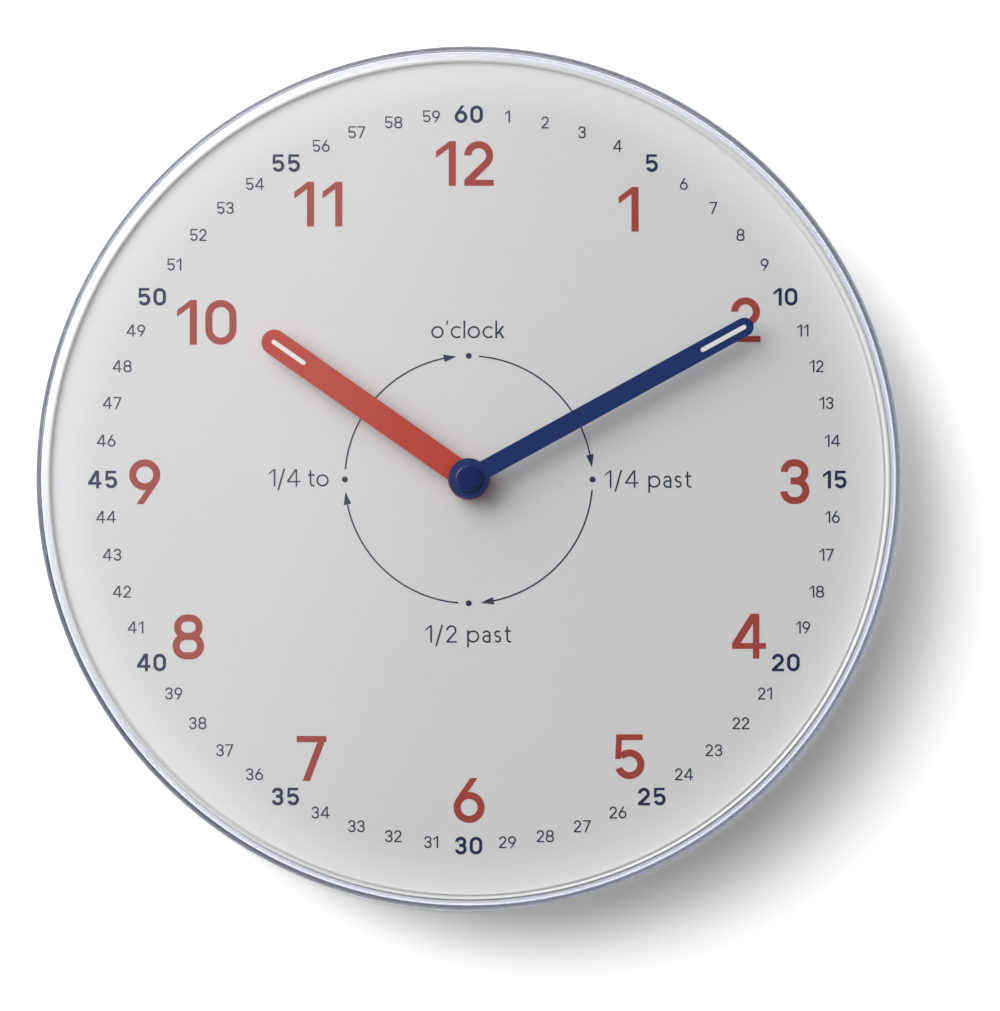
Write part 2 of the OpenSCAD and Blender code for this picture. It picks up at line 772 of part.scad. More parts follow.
// Pale mark in the hour hand
module hour_hand_inlay() {
    color("white") upright() rotate([0, 0, -hour_angle]) {
        hand_inlay(hour_hub_front, hour_hand_length, hour_inlay_length, hour_inlay_inset);
    }
}

// Minute hand on the minute arbor
module minute_hand() {
    color([0.11, 0.18, 0.41]) upright() rotate([0, 0, -minute_angle]) {
        hand(
            minute_hub_rear, minute_hub_front, minute_hub_diameter / 2, minute_arbor_radius + hand_fit,
            minute_hand_length, minute_hand_width, minute_inlay_length, minute_inlay_inset
        );
    }
}

// Pale mark in the minute hand
module minute_hand_inlay() {
    color("white") upright() rotate([0, 0, -minute_angle]) {
        hand_inlay(minute_hub_front, minute_hand_length, minute_inlay_length, minute_inlay_inset);
    }
}

// Cap that covers the end of the minute arbor
module hand_cap() {
    color([0.11, 0.18, 0.41]) upright() rotate_extrude() {
        intersection() {
            disc_section(minute_hub_front, hand_cap_front, hand_cap_diameter / 2, hand_cap_radius);
            box_outline(0, minute_hub_front, hand_cap_diameter / 2, hand_cap_front);
        }
    }
}

// Mounting ears beside the housing, with their screw holes
module housing_ears() {
    difference() {
        for (place = ears_at) {
            root = sign(place[0]) * (outer_half_width - housing_wall / 2);
            end = sign(place[0]) * (outer_half_width + ear_reach);
            slab(ear_rear, ear_front) box_outline(
                min(root, end), place[1] - ear_height / 2,
                max(root, end), place[1] + ear_height / 2
            );
        }
        for (place = ears_at) {
            at(place) rod(ear_rear - cut_margin, ear_front + cut_margin, screw_hole);
        }
    }
}

// Ribs with a hollow edge that the cell lies on
module saddle_ribs() {
    for (side = [-1, 1]) {
        difference() {
            translate([side * saddle_spacing / 2 - saddle_rib / 2, bay_bottom, battery_level]) {
                cube([saddle_rib, bay_top - bay_bottom, plate_inner - battery_level + front_plate / 2]);
            }
            translate([-inner_half_width, battery_height, battery_level]) rotate([0, 90, 0]) {
                cylinder(h = 2 * inner_half_width, r = battery_diameter / 2 + battery_clearance);
            }
        }
    }
}

// Movement housing: front plate, walls, battery bay, bush, posts and ears
module movement_housing() {
    color("dimgray") upright() difference() {
        union() {
            difference() {
                slab(housing_rear, housing_front) round_outline(
                    -outer_half_width, bay_bottom - housing_wall,
                    outer_half_width, axis_to_top + housing_wall, housing_corner
                );
                slab(housing_rear - cut_margin, plate_inner) {
                    box_outline(-inner_half_width, -axis_to_bay, inner_half_width, axis_to_top);
                    box_outline(-inner_half_width, bay_bottom, inner_half_width, bay_top);
                }
                slab(housing_rear - cut_margin, lid_front) {
                    box_outline(-inner_half_width, bay_bottom, inner_half_width, axis_to_top);
                }
                slab(strip_rear - contact_gap, strip_rear + strip_width + contact_gap) {
                    box_outline(
                        -inner_half_width, bay_top - cut_margin,
                        -inner_half_width + contact_sheet + contact_gap, -axis_to_bay + cut_margin
                    );
                    box_outline(
                        inner_half_width - contact_sheet - contact_gap, bay_top - cut_margin,
                        inner_half_width, -axis_to_bay + cut_margin
                    );
                }
            }
            rod(plate_inner, bush_front, bush_radius);
            at(minute_wheel_at) rod(motion_plane - end_play, plate_inner + cut_margin, stud_radius);
            for (place = lid_posts) {
                at(place) rod(lid_front, plate_inner + cut_margin, lid_post_radius);
            }
            for (place = stator_posts) {
                post(place, stator_front, stator_thickness);
            }
            for (place = board_posts) {
                post(place, board_front, board_thickness);
            }
            saddle_ribs();
            housing_ears();
        }
        rod(plate_inner - cut_margin, bush_front + cut_margin, bush_bore);
        pivot_holes(plate_inner, 1);
        at(knob_at) rod(plate_inner - cut_margin, plate_inner + pivot_length + end_play, pivot_hole);
        for (place = lid_posts) {
            at(place) rod(lid_front - cut_margin, lid_front + lid_screw_length + cut_margin, lid_screw_hole);
        }
    }
}

// Lid over the train compartment, which carries the rear pivots
module movement_lid() {
    color("gray") upright() difference() {
        slab(lid_rear, lid_front) box_outline(
            -inner_half_width + lid_clearance, bay_top,
            inner_half_width - lid_clearance, axis_to_top - lid_clearance
        );
        pivot_holes(lid_front, -1);
        rod(lid_front - pivot_length - end_play, lid_front + cut_margin, arbor_radius + pivot_clearance);
        at(knob_at) rod(lid_rear - cut_margin, lid_front + cut_margin, knob_shaft_radius + pivot_clearance);
        for (place = lid_posts) {
            at(place) {
                cone_hole(lid_rear, lid_head_height, lid_head_radius, lid_screw_radius, lid_screw_length);
            }
        }
    }
}

// Screws that hold the lid
module lid_screws() {
    color("silver") upright() for (place = lid_posts) {
        at(place) cone_screw(lid_rear, lid_head_height, lid_head_radius, lid_screw_radius, lid_screw_length);
    }
}

// Screws that hold the movement to the carrier by its ears
module movement_screws() {
    color("silver") upright() for (place = ears_at) {
        at(place) difference() {
            union() {
                rod(ear_rear - screw_head_height, ear_rear, head_radius);
                rod(ear_rear, ear_rear + movement_screw_length, screw_radius);
            }
            translate([-head_radius, -driver_slot / 2, ear_rear - screw_head_height - cut_margin]) {
                cube([2 * head_radius, driver_slot, driver_slot_depth + cut_margin]);
            }
        }
    }
}

// Minute arbor with the cannon pinion and the collar of the clutch
module minute_arbor() {
    collar_radius = minute_arbor_radius + hour_pipe_wall;
    collar_rear = centre_plane + wheel_thickness + clutch_thickness;
    color("khaki") upright() {
        rod(lid_front - pivot_length, centre_plane, arbor_radius);
        rod(centre_plane - wheel_gap, minute_hub_front - hand_fit, minute_arbor_radius);
        rod(collar_rear, motion_plane, collar_radius);
        gear(motion_plane, motion_plane + wheel_thickness, cannon_leaves, motion_module, pinion_leaf, 0);
    }
}

// Centre wheel, which the clutch spring drives once an hour
module centre_wheel() {
    color("ivory") upright() difference() {
        train_wheel(centre_plane, centre_teeth, centre_module);
        rod(
            centre_plane - cut_margin, centre_plane + wheel_thickness + cut_margin,
            minute_arbor_radius + hand_fit
        );
    }
}

// Clutch spring between the centre wheel and the collar of the minute arbor
module clutch_spring() {
    rear = centre_plane + wheel_thickness;
    color("goldenrod") upright() difference() {
        slab(rear, rear + clutch_thickness) {
            circle(minute_arbor_radius + hour_pipe_wall);
            for (i = [0:clutch_arms - 1]) {
                rotate([0, 0, 360 * i / clutch_arms]) strip_outline(0, clutch_reach, hour_pipe_wall);
            }
        }
        rod(rear - cut_margin, rear + clutch_thickness + cut_margin, minute_arbor_radius + hand_fit);
    }
}

// Minute wheel with its pinion, on the stud of the front plate
module minute_wheel() {
    color("ivory") upright() at(minute_wheel_at) difference() {
        union() {
            gear(
                motion_plane, motion_plane + wheel_thickness,
                minute_wheel_teeth, motion_module, wheel_tooth, minute_wheel_phase
            );
            gear(
                motion_plane, plate_inner - end_play,
                minute_pinion_leaves, hour_module, pinion_leaf, 0
            );
        }
        rod(motion_plane - cut_margin, plate_inner + cut_margin, stud_radius + pivot_clearance);
    }
}

// Hour wheel with the hour pipe
module hour_wheel() {
    color("ivory") upright() difference() {
        union() {
            gear(
                hour_plane, hour_plane + wheel_thickness,
                hour_wheel_teeth, hour_module, wheel_tooth, hour_wheel_phase
            );
            rod(hour_plane, plate_inner - end_play, bush_bore + hour_pipe_wall);
            rod(hour_plane, hour_hub_front - hand_fit, pipe_radius);
        }
        rod(hour_plane - cut_margin, hour_hub_front + cut_margin, pipe_bore);
    }
}

// Third wheel, driven by the centre wheel
module third_wheel() {
    color("ivory") upright() at(third_at) {
        arbor();
        train_pinion(centre_plane, centre_module, third_phase);
        train_wheel(third_plane, third_teeth, third_module);
    }
}

// Fourth wheel, which turns once a minute
module fourth_wheel() {
    color("ivory") upright() at(fourth_at) {
        arbor();
        train_pinion(third_plane, third_module, fourth_phase);
        train_wheel(centre_plane, fourth_teeth, fourth_module);
    }
}

// Fifth wheel, driven by the rotor
module fifth_wheel() {
    color("ivory") upright() at(fifth_at) {
        arbor();
        train_pinion(centre_plane, fourth_module, fifth_phase);
        train_wheel(fifth_plane, fifth_teeth, fifth_module);
    }
}

// Rotor arbor with its pinion
module rotor() {
    color("ivory") upright() at(rotor_at) {
        arbor();
        train_pinion(fifth_plane, fifth_module, rotor_phase);
    }
}

// Ring magnet on the rotor arbor
module rotor_magnet() {
    color("darkslategray") upright() at(rotor_at) {
        slab(magnet_rear, magnet_rear + magnet_length) difference() {
            circle(magnet_radius);
            circle(arbor_radius + hand_fit);
        }
    }
}

// Stator plate: a ring around the rotor and two legs that reach the ends of the coil core
module stator() {
    color("slategray") upright() slab(stator_rear, stator_front) difference() {
        union() {
            box_outline(
                rotor_at[0] - stator_half, rotor_at[1] - stator_half,
                rotor_at[0] + stator_half, rotor_at[1] + stator_half
            );
            box_outline(rotor_at[0], stator_top - stator_leg, coil_x + stator_leg / 2, stator_top);
            box_outline(rotor_at[0], mid_leg_bottom, side_leg_right, mid_leg_bottom + stator_leg);
            box_outline(side_leg_left, stator_bottom, side_leg_right, mid_leg_bottom + stator_leg);
            box_outline(side_leg_left, stator_bottom, coil_x + stator_leg / 2, stator_bottom + stator_leg);
        }
        translate(rotor_at) circle(stator_hole);
        for (place = stator_posts) {
            translate(place) circle(post_pin_radius + screw_clearance);
        }
    }
}

// Coil core, which lies on the ends of the stator legs
module coil_core() {
    color("slategray") upright() slab(stator_front, core_front) {
        box_outline(coil_x - stator_leg / 2, stator_bottom, coil_x + stator_leg / 2, stator_top);
    }
}

// Place on the coil axis, with the axis along Z from the lower end of the bobbin
module along_coil() {
    translate([coil_x, bobbin_bottom, core_middle]) rotate([-90, 0, 0]) children();
}

// Coil bobbin around the core
module coil_bobbin() {
    color("beige") upright() along_coil() difference() {
        union() {
            rod(0, bobbin_length, bobbin_tube);
            rod(0, bobbin_flange, bobbin_flange_radius);
            rod(bobbin_length - bobbin_flange, bobbin_length, bobbin_flange_radius);
        }
        slab(-cut_margin, bobbin_length + cut_margin) {
            square([2 * bobbin_bore, core_thickness + 2 * screw_clearance], center = true);
        }
    }
}

// Winding on the bobbin
module coil_winding() {
    color("chocolate") upright() along_coil() {
        slab(bobbin_flange, bobbin_length - bobbin_flange) difference() {
            circle(winding_radius);
            circle(bobbin_tube);
        }
    }
}

// Circuit board on its two posts
module circuit_board() {
    color("seagreen") upright() slab(board_rear, board_front) difference() {
        box_outline(board_left, board_bottom, board_left + board_length, board_bottom + board_height);
        for (place = board_posts) {
            translate(place) circle(post_pin_radius + screw_clearance);
        }
    }
}

// Quartz crystal can, lying on the circuit board
module quartz_crystal() {
    crystal_x = board_left + board_length / 2 - crystal_length / 2;
    crystal_y = board_bottom + crystal_radius + screw_clearance;
    color("silver") upright() translate([crystal_x, crystal_y, board_rear - crystal_radius]) {
        rotate([0, 90, 0]) cylinder(h = crystal_length, r = crystal_radius);
    }
}

// Sealed driver chip on the circuit board
module driver_chip() {
    chip_y = board_bottom + board_height - chip_radius;
    color("black") upright() at([board_left + board_length / 2, chip_y]) {
        rod(board_rear - chip_height, board_rear, chip_radius);
    }
}

// Cell with its button to the right
module battery() {
    half = battery_length / 2;
    radius = battery_diameter / 2;
    button = button_diameter / 2;
    color("darkgray") upright() translate([0, battery_height, battery_level]) rotate([0, 90, 0]) {
        rotate_extrude() polygon([
            [0, -half],
            [radius - battery_chamfer, -half],
            [radius, -half + battery_chamfer],
            [radius, half - button_height - battery_chamfer],
            [radius - battery_chamfer, half - button_height],
            [button, half - button_height],
            [button, half],
            [0, half],
        ]);
    }
}

// Contact at one end of the cell: a backing sheet, a bent leaf and a riser beside the bay
module end_contact() {
    sheet_face = inner_half_width - contact_sheet;
    leaf_tip = battery_length / 2 + contact_gap;
    translate([0, battery_height + contact_width / 2, 0]) rotate([90, 0, 0]) {
        linear_extrude(contact_width) polygon([
            [inner_half_width, contact_rear],
            [sheet_face, contact_rear],
            [leaf_tip, battery_level],
            [sheet_face, contact_rear + contact_length],
            [inner_half_width, contact_rear + contact_length],
        ]);
    }
    slab(strip_rear, strip_rear + strip_width) {
        box_outline(sheet_face, battery_height, inner_half_width, -axis_to_bay + contact_sheet);
    }
}

// Positive contact, with the strip that leads along the bay wall to the circuit board
module positive_contact() {
    color("lightsteelblue") upright() {
        end_contact();
        slab(strip_rear, strip_rear + strip_width) {
            box_outline(
                board_left + board_length - 2 * post_radius, -axis_to_bay,
                inner_half_width, -axis_to_bay + contact_sheet
            );
        }
    }
}

// Negative contact, which rises beside the circuit board
module negative_contact() {
    color("lightsteelblue") upright() {
        mirror([1, 0, 0]) end_contact();
        slab(strip_rear, strip_rear + strip_width) {
            box_outline(
                -inner_half_width, -axis_to_bay,
                board_left + board_inset, -axis_to_bay + contact_sheet
            );
        }
    }
}

// Setting knob behind the lid, with its shaft and pinion
module setting_knob() {
    knob_front = lid_rear - knob_gap;
    knob_rear = knob_front - knob_height;
    color("darkgray") upright() at(knob_at) {
        difference() {
            rod(knob_rear, knob_front, knob_diameter / 2);
            for (i = [0:knob_grips - 1]) {
                at(turn(knob_diameter / 2, 360 * i / knob_grips)) {
                    rod(knob_rear - cut_margin, knob_front + cut_margin, knob_grip_radius);
                }
            }
        }
        rod(knob_rear, motion_plane, knob_shaft_radius);
        rod(motion_plane, plate_inner - end_play, arbor_radius);
        rod(motion_plane, plate_inner + pivot_length, pivot_radius);
        gear(
            motion_plane - pinion_overhang, motion_plane + wheel_thickness + pinion_overhang,
            cannon_leaves, motion_module, pinion_leaf, knob_phase
        );
    }
}

clear_cover();
rear_cover();
case_screws();
dial_carrier();
dial();
hour_hand();
hour_hand_inlay();
minute_hand();
minute_hand_inlay();
hand_cap();
movement_housing();
movement_lid();
lid_screws();
movement_screws();
minute_arbor();
centre_wheel();
clutch_spring();
minute_wheel();
hour_wheel();
third_wheel();
fourth_wheel();
fifth_wheel();
rotor();
rotor_magnet();
stator();
coil_core();
coil_bobbin();
coil_winding();
circuit_board();
quartz_crystal();
driver_chip();
battery();
positive_contact();
negative_contact();
setting_knob();
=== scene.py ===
# %% [markdown]
# # A teaching wall clock
# The solid clock is already built and packed, with its case, hands and movement in place. This
# lesson dresses it: every solid gets a real finish, the dial gets its print, and a wall, lamps and a
# camera show it hanging in a studio. Everything is in metres, and the front of the dial looks along
# -Y with 12 o'clock at +Z.

# %% Load the solid clock
import json
import math

import bpy
from mathutils import Matrix, Vector


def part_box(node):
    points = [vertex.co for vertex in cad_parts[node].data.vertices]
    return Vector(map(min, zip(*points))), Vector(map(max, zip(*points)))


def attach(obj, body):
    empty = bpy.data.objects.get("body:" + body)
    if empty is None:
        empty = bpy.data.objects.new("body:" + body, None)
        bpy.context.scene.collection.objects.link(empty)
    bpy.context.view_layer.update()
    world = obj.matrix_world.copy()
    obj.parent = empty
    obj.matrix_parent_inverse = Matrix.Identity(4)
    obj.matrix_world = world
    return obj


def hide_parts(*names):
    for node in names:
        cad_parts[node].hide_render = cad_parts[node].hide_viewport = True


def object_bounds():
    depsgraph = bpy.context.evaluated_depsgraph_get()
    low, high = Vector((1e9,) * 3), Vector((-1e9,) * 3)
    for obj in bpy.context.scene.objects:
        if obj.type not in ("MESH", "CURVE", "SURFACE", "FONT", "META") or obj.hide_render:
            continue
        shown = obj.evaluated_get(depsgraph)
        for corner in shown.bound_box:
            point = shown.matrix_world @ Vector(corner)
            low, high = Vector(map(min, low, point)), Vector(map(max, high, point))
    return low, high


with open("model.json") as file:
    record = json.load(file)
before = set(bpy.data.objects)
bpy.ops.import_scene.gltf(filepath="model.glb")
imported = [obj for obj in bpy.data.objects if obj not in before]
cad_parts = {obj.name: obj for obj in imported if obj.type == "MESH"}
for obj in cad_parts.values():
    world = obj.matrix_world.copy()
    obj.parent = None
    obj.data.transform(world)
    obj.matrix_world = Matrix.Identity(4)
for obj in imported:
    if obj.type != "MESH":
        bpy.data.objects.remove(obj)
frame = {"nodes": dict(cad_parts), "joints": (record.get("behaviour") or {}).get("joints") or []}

MM = 0.001
cad_low, cad_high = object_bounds()
case_radius = (cad_high.x - cad_low.x) / 2
case_front = cad_low.y
wall_plane = cad_high.y
print("case radius", round(case_radius / MM, 1), "mm, depth", round((wall_plane - case_front) / MM, 1), "mm")

# %% [markdown]
# ## Shared effects
# Moulded plastic, paint and printed sheet all have a grain that is too fine to model. It could be
# painted as an image, but a noise in the material stays sharp at any distance. Two effects are used
# by many finishes, so each is a node group: one gives a grain for roughness and bump, the other
# lets a colour drift a little over the surface, as no real surface is one flat colour.

# %% Node group for the grain
def value_socket(tree, name, default):
    socket = tree.interface.new_socket(name, in_out="INPUT", socket_type="NodeSocketFloat")
    socket.default_value = default


def grain_group():
    tree = bpy.data.node_groups.new("moulded_grain", "ShaderNodeTree")
    value_socket(tree, "Scale", 2000)
    value_socket(tree, "Roughness", 0.4)
    value_socket(tree, "Spread", 0.1)
    tree.interface.new_socket("Roughness", in_out="OUTPUT", socket_type="NodeSocketFloat")
    tree.interface.new_socket("Height", in_out="OUTPUT", socket_type="NodeSocketFloat")
    made = tree.nodes.new
    entry = made("NodeGroupInput")
    leave = made("NodeGroupOutput")
    place = made("ShaderNodeTexCoord")
    noise = made("ShaderNodeTexNoise")
    noise.inputs["Detail"].default_value = 3
    centred = made("ShaderNodeMath")
    centred.operation = "SUBTRACT"
    centred.inputs[1].default_value = 0.5
    rough = made("ShaderNodeMath")
    rough.operation = "MULTIPLY_ADD"
    connect = tree.links.new
    connect(place.outputs["Object"], noise.inputs["Vector"])
    connect(entry.outputs["Scale"], noise.inputs["Scale"])
    connect(noise.outputs["Fac"], centred.inputs[0])
    connect(centred.outputs[0], rough.inputs[0])
    connect(entry.outputs["Spread"], rough.inputs[1])
    connect(entry.outputs["Roughness"], rough.inputs[2])
    connect(rough.outputs[0], leave.inputs["Roughness"])
    connect(noise.outputs["Fac"], leave.inputs["Height"])
    return tree


moulded_grain = grain_group()
print("group", moulded_grain.name, "with", len(moulded_grain.nodes), "nodes")

# %% Node group for the drift of a colour
def drift_group():
    tree = bpy.data.node_groups.new("colour_drift", "ShaderNodeTree")
    for name in ("Colour", "Other Colour"):
        tree.interface.new_socket(name, in_out="INPUT", socket_type="NodeSocketColor")
    value_socket(tree, "Scale", 40)
    tree.interface.new_socket("Colour", in_out="OUTPUT", socket_type="NodeSocketColor")
    made = tree.nodes.new
    entry = made("NodeGroupInput")
    leave = made("NodeGroupOutput")
    place = made("ShaderNodeTexCoord")
    noise = made("ShaderNodeTexNoise")
    noise.inputs["Detail"].default_value = 4
    mix = made("ShaderNodeMix")
    mix.data_type = "RGBA"
    connect = tree.links.new
    connect(place.outputs["Object"], noise.inputs["Vector"])
    connect(entry.outputs["Scale"], noise.inputs["Scale"])
    connect(noise.outputs["Fac"], mix.inputs["Factor"])
    connect(entry.outputs["Colour"], mix.inputs["A"])
    connect(entry.outputs["Other Colour"], mix.inputs["B"])
    connect(mix.outputs["Result"], leave.inputs["Colour"])
    return tree


colour_drift = drift_group()
print("group", colour_drift.name, "with", len(colour_drift.nodes), "nodes")

# %% [markdown]
# ## A finish from the two effects
# Most of the clock is moulded plastic, paint or plain metal. They differ in colour, shine and
# grain, so one function lays out the nodes and each finish gives its own values. Colours are
# written as they look on a screen, from 0 to 255, and turned into light for the shader.

# %% Colours, grain and relief
relief_height = 0.1 * MM


def screen_colour(red, green, blue):
    def light(value):
        share = value / 255
        return share / 12.92 if share <= 0.04045 else ((share + 0.055) / 1.055) ** 2.4
    return (light(red), light(green), light(blue), 1)


def empty_material(name):
    material = bpy.data.materials.new(name)
    material.use_nodes = True
    return material, material.node_tree.nodes, material.node_tree.links


def add_grain(nodes, scale, roughness, spread):
    speck = nodes.new("ShaderNodeGroup")
    speck.node_tree = moulded_grain
    speck.inputs["Scale"].default_value = scale
    speck.inputs["Roughness"].default_value = roughness
    speck.inputs["Spread"].default_value = spread
    return speck


def add_relief(nodes, links, height, strength, shader):
    relief = nodes.new("ShaderNodeBump")
    relief.inputs["Strength"].default_value = strength
    relief.inputs["Distance"].default_value = relief_height
    links.new(height, relief.inputs["Height"])
    links.new(relief.outputs["Normal"], shader.inputs["Normal"])


print("relief up to", relief_height / MM, "mm")

# %% Finish maker
def finish(
    name, colour, other, roughness, spread=0.08, grain=2000, bump=0.05, metallic=0.0, drift=40, shine=0.5
):
    material, nodes, links = empty_material(name)
    shader = nodes["Principled BSDF"]
    shader.inputs["Metallic"].default_value = metallic
    shader.inputs["Specular IOR Level"].default_value = shine
    tone = nodes.new("ShaderNodeGroup")
    tone.node_tree = colour_drift
    tone.inputs["Colour"].default_value = screen_colour(*colour)
    tone.inputs["Other Colour"].default_value = screen_colour(*other)
    tone.inputs["Scale"].default_value = drift
    speck = add_grain(nodes, grain, roughness, spread)
    links.new(tone.outputs["Colour"], shader.inputs["Base Color"])
    links.new(speck.outputs["Roughness"], shader.inputs["Roughness"])
    add_relief(nodes, links, speck.outputs["Height"], bump, shader)
    return material


def dress(material, *nodes):
    for name in nodes:
        solid = frame["nodes"][name]
        for slot in solid.material_slots:
            slot.material = material
    print(material.name, "on", ", ".join(nodes))


print("node names to dress", len(frame["nodes"]))

# %% [markdown]
# ## Case, dial and hands
# The rear cover is a white moulding. The dial is a printed sheet, a little greyer and quite matt, so
# that no glare hides the numbers. The hands are stamped metal with a satin paint, red for hours and
# blue for minutes, each with a pale mark at its tip. The cap over them is a polished moulding.

# %% Finishes of the case, the dial and the hands
white_plastic = finish("white_plastic", (234, 234, 232), (228, 228, 227), 0.36, grain=2400, bump=0.04)
dial_sheet = finish("dial_sheet", (226, 226, 226), (222, 222, 222), 0.62, grain=4500, bump=0.015, drift=18)
red_paint = finish("red_paint", (195, 64, 48), (189, 60, 44), 0.5, grain=1300, bump=0.06, shine=0.2)
blue_paint = finish("blue_paint", (17, 49, 109), (14, 45, 103), 0.5, grain=1300, bump=0.06, shine=0.2)
cap_plastic = finish("cap_plastic", (8, 27, 102), (6, 24, 95), 0.12, grain=2200, bump=0.01, shine=0.6)
pale_inlay = finish("pale_inlay", (244, 244, 240), (238, 238, 234), 0.55, grain=2600, bump=0.03)
dress(white_plastic, "rear_cover")
dress(dial_sheet, "dial")
dress(red_paint, "hour_hand")
dress(blue_paint, "minute_hand")
dress(cap_plastic, "hand_cap")
dress(pale_inlay, "hour_hand_inlay", "minute_hand_inlay")

# %% [markdown]
# The rim of the carrier is thin, and thin white plastic isn't quite opaque. So the carrier has a
# finish of its own: rays from the lamps lose only part of their light in it, and its rim throws a
# pale shadow. A Light Path node tells which kind of ray has come.

# %% Finish of the carrier
carrier_plastic = finish("carrier_plastic", (236, 236, 235), (231, 231, 230), 0.4, grain=2400, bump=0.03)
nodes, links = carrier_plastic.node_tree.nodes, carrier_plastic.node_tree.links
light_left = 0.8


def let_pass(nodes, links, surface, kind, colour):
    """Lets rays of one kind pass, tinted by a colour, and shows the surface to all others."""
    rays = nodes.new("ShaderNodeLightPath")
    passing = nodes.new("ShaderNodeBsdfTransparent")
    passing.inputs["Color"].default_value = colour
    choice = nodes.new("ShaderNodeMixShader")
    links.new(rays.outputs[kind], choice.inputs[0])
    links.new(surface, choice.inputs[1])
    links.new(passing.outputs[0], choice.inputs[2])
    return choice.outputs[0]


thin_white = (light_left, light_left, light_left, 1)
for_lamps = let_pass(nodes, links, nodes["Principled BSDF"].outputs[0], "Is Shadow Ray", thin_white)
links.new(for_lamps, nodes["Material Output"].inputs["Surface"])
dress(carrier_plastic, "dial_carrier")

# %% [markdown]
# The sheet is painted paler towards its edge. This is painted light: it stands in for the light that
# the clear side wall lets onto the dial near the rim. The distance from the hand axis drives it.

# %% Painted light at the edge of the dial
# painted light: the dial's colour is blended to a paler tone between these two distances from the axis
painted_light_start, painted_light_end = 84 * MM, 97 * MM
painted_light_tone = screen_colour(241, 241, 241)
nodes, links = dial_sheet.node_tree.nodes, dial_sheet.node_tree.links
place = nodes.new("ShaderNodeTexCoord")
flat = nodes.new("ShaderNodeVectorMath")
flat.operation = "MULTIPLY"
flat.inputs[1].default_value = (1, 0, 1)
reach = nodes.new("ShaderNodeVectorMath")
reach.operation = "LENGTH"
painted_light_ramp = nodes.new("ShaderNodeMapRange")
painted_light_ramp.interpolation_type = "SMOOTHSTEP"
painted_light_ramp.inputs["From Min"].default_value = painted_light_start
painted_light_ramp.inputs["From Max"].default_value = painted_light_end
pale = nodes.new("ShaderNodeMix")
pale.data_type = "RGBA"
pale.inputs["B"].default_value = painted_light_tone
shader = nodes["Principled BSDF"]
links.new(place.outputs["Object"], flat.inputs[0])
links.new(flat.outputs["Vector"], reach.inputs[0])
links.new(reach.outputs["Value"], painted_light_ramp.inputs["Value"])
links.new(painted_light_ramp.outputs["Result"], pale.inputs["Factor"])
links.new(shader.inputs["Base Color"].links[0].from_socket, pale.inputs["A"])
links.new(pale.outputs["Result"], shader.inputs["Base Color"])
print("border from", round(painted_light_start / MM), "to", round(painted_light_end / MM), "mm")

# %% [markdown]
# ## Clear plastic
# The cover is one clear moulding: a window and a side wall. Real refraction gives its edge the
# bright and dark lines that a clear edge has. A path tracer hardly finds a lamp through such a
# surface, so rays from the lamps and from the dial take a plain transparent shader instead, and the
# dial stays lit. The side wall is a finish of its own, milky and lilac. Its colour is painted
# reflection: it stands in for the lilac and dark bands that the clear edge shows.

# %% Finishes of the clear cover
plastic_index = 1.49


def clear_finish(name, colour, transmission, passing_colour):
    material, nodes, links = empty_material(name)
    shader = nodes["Principled BSDF"]
    shader.inputs["Base Color"].default_value = colour
    shader.inputs["Transmission Weight"].default_value = transmission
    shader.inputs["IOR"].default_value = plastic_index
    polish = add_grain(nodes, scale=60, roughness=0.015, spread=0.02)
    links.new(polish.outputs["Roughness"], shader.inputs["Roughness"])
    for_dial = let_pass(nodes, links, shader.outputs[0], "Is Diffuse Ray", passing_colour)
    for_lamps = let_pass(nodes, links, for_dial, "Is Shadow Ray", passing_colour)
    links.new(for_lamps, nodes["Material Output"].inputs["Surface"])
    return material


window_pass, edge_pass = (0.94, 0.94, 0.94, 1), (0.92, 0.92, 0.94, 1)
clear_plastic = clear_finish("clear_plastic", (0.985, 0.985, 0.99, 1), 1.0, window_pass)
# painted reflection: the milky lilac of the side wall stands in for the bands that its clear edge shows
clear_edge = clear_finish("clear_edge", (0.62, 0.65, 0.83, 1), 0.66, edge_pass)
dress(clear_plastic, "clear_cover")

# %% [markdown]
# ## The clear cover
# The solid cover has the right sizes, but its round faces are flat facets, and clear plastic shows
# each of them. So the cover is turned again, like a bowl on a lathe: its section is drawn once and
# spun about the hand axis in fine steps. Six shallow slots inside the wall take the snap beads of
# the carrier, and are cut with short spun wedges.

# %% Turning on a lathe
lathe_steps = 360
weld_distance = 0.001 * MM


def new_object(name, data):
    thing = bpy.data.objects.new(name, data)
    bpy.context.scene.collection.objects.link(thing)
    return thing


def new_piece(name, points, edges, faces=()):
    mesh = bpy.data.meshes.new(name)
    mesh.from_pydata(points, edges, faces)
    return new_object(name, mesh)


def deselect():
    bpy.ops.object.select_all(action="DESELECT")


def activate(piece):
    deselect()
    piece.select_set(True)
    bpy.context.view_layer.objects.active = piece


def edit(piece):
    """Opens a piece for editing, with all of it selected."""
    activate(piece)
    bpy.ops.object.mode_set(mode="EDIT")
    bpy.ops.mesh.select_all(action="SELECT")


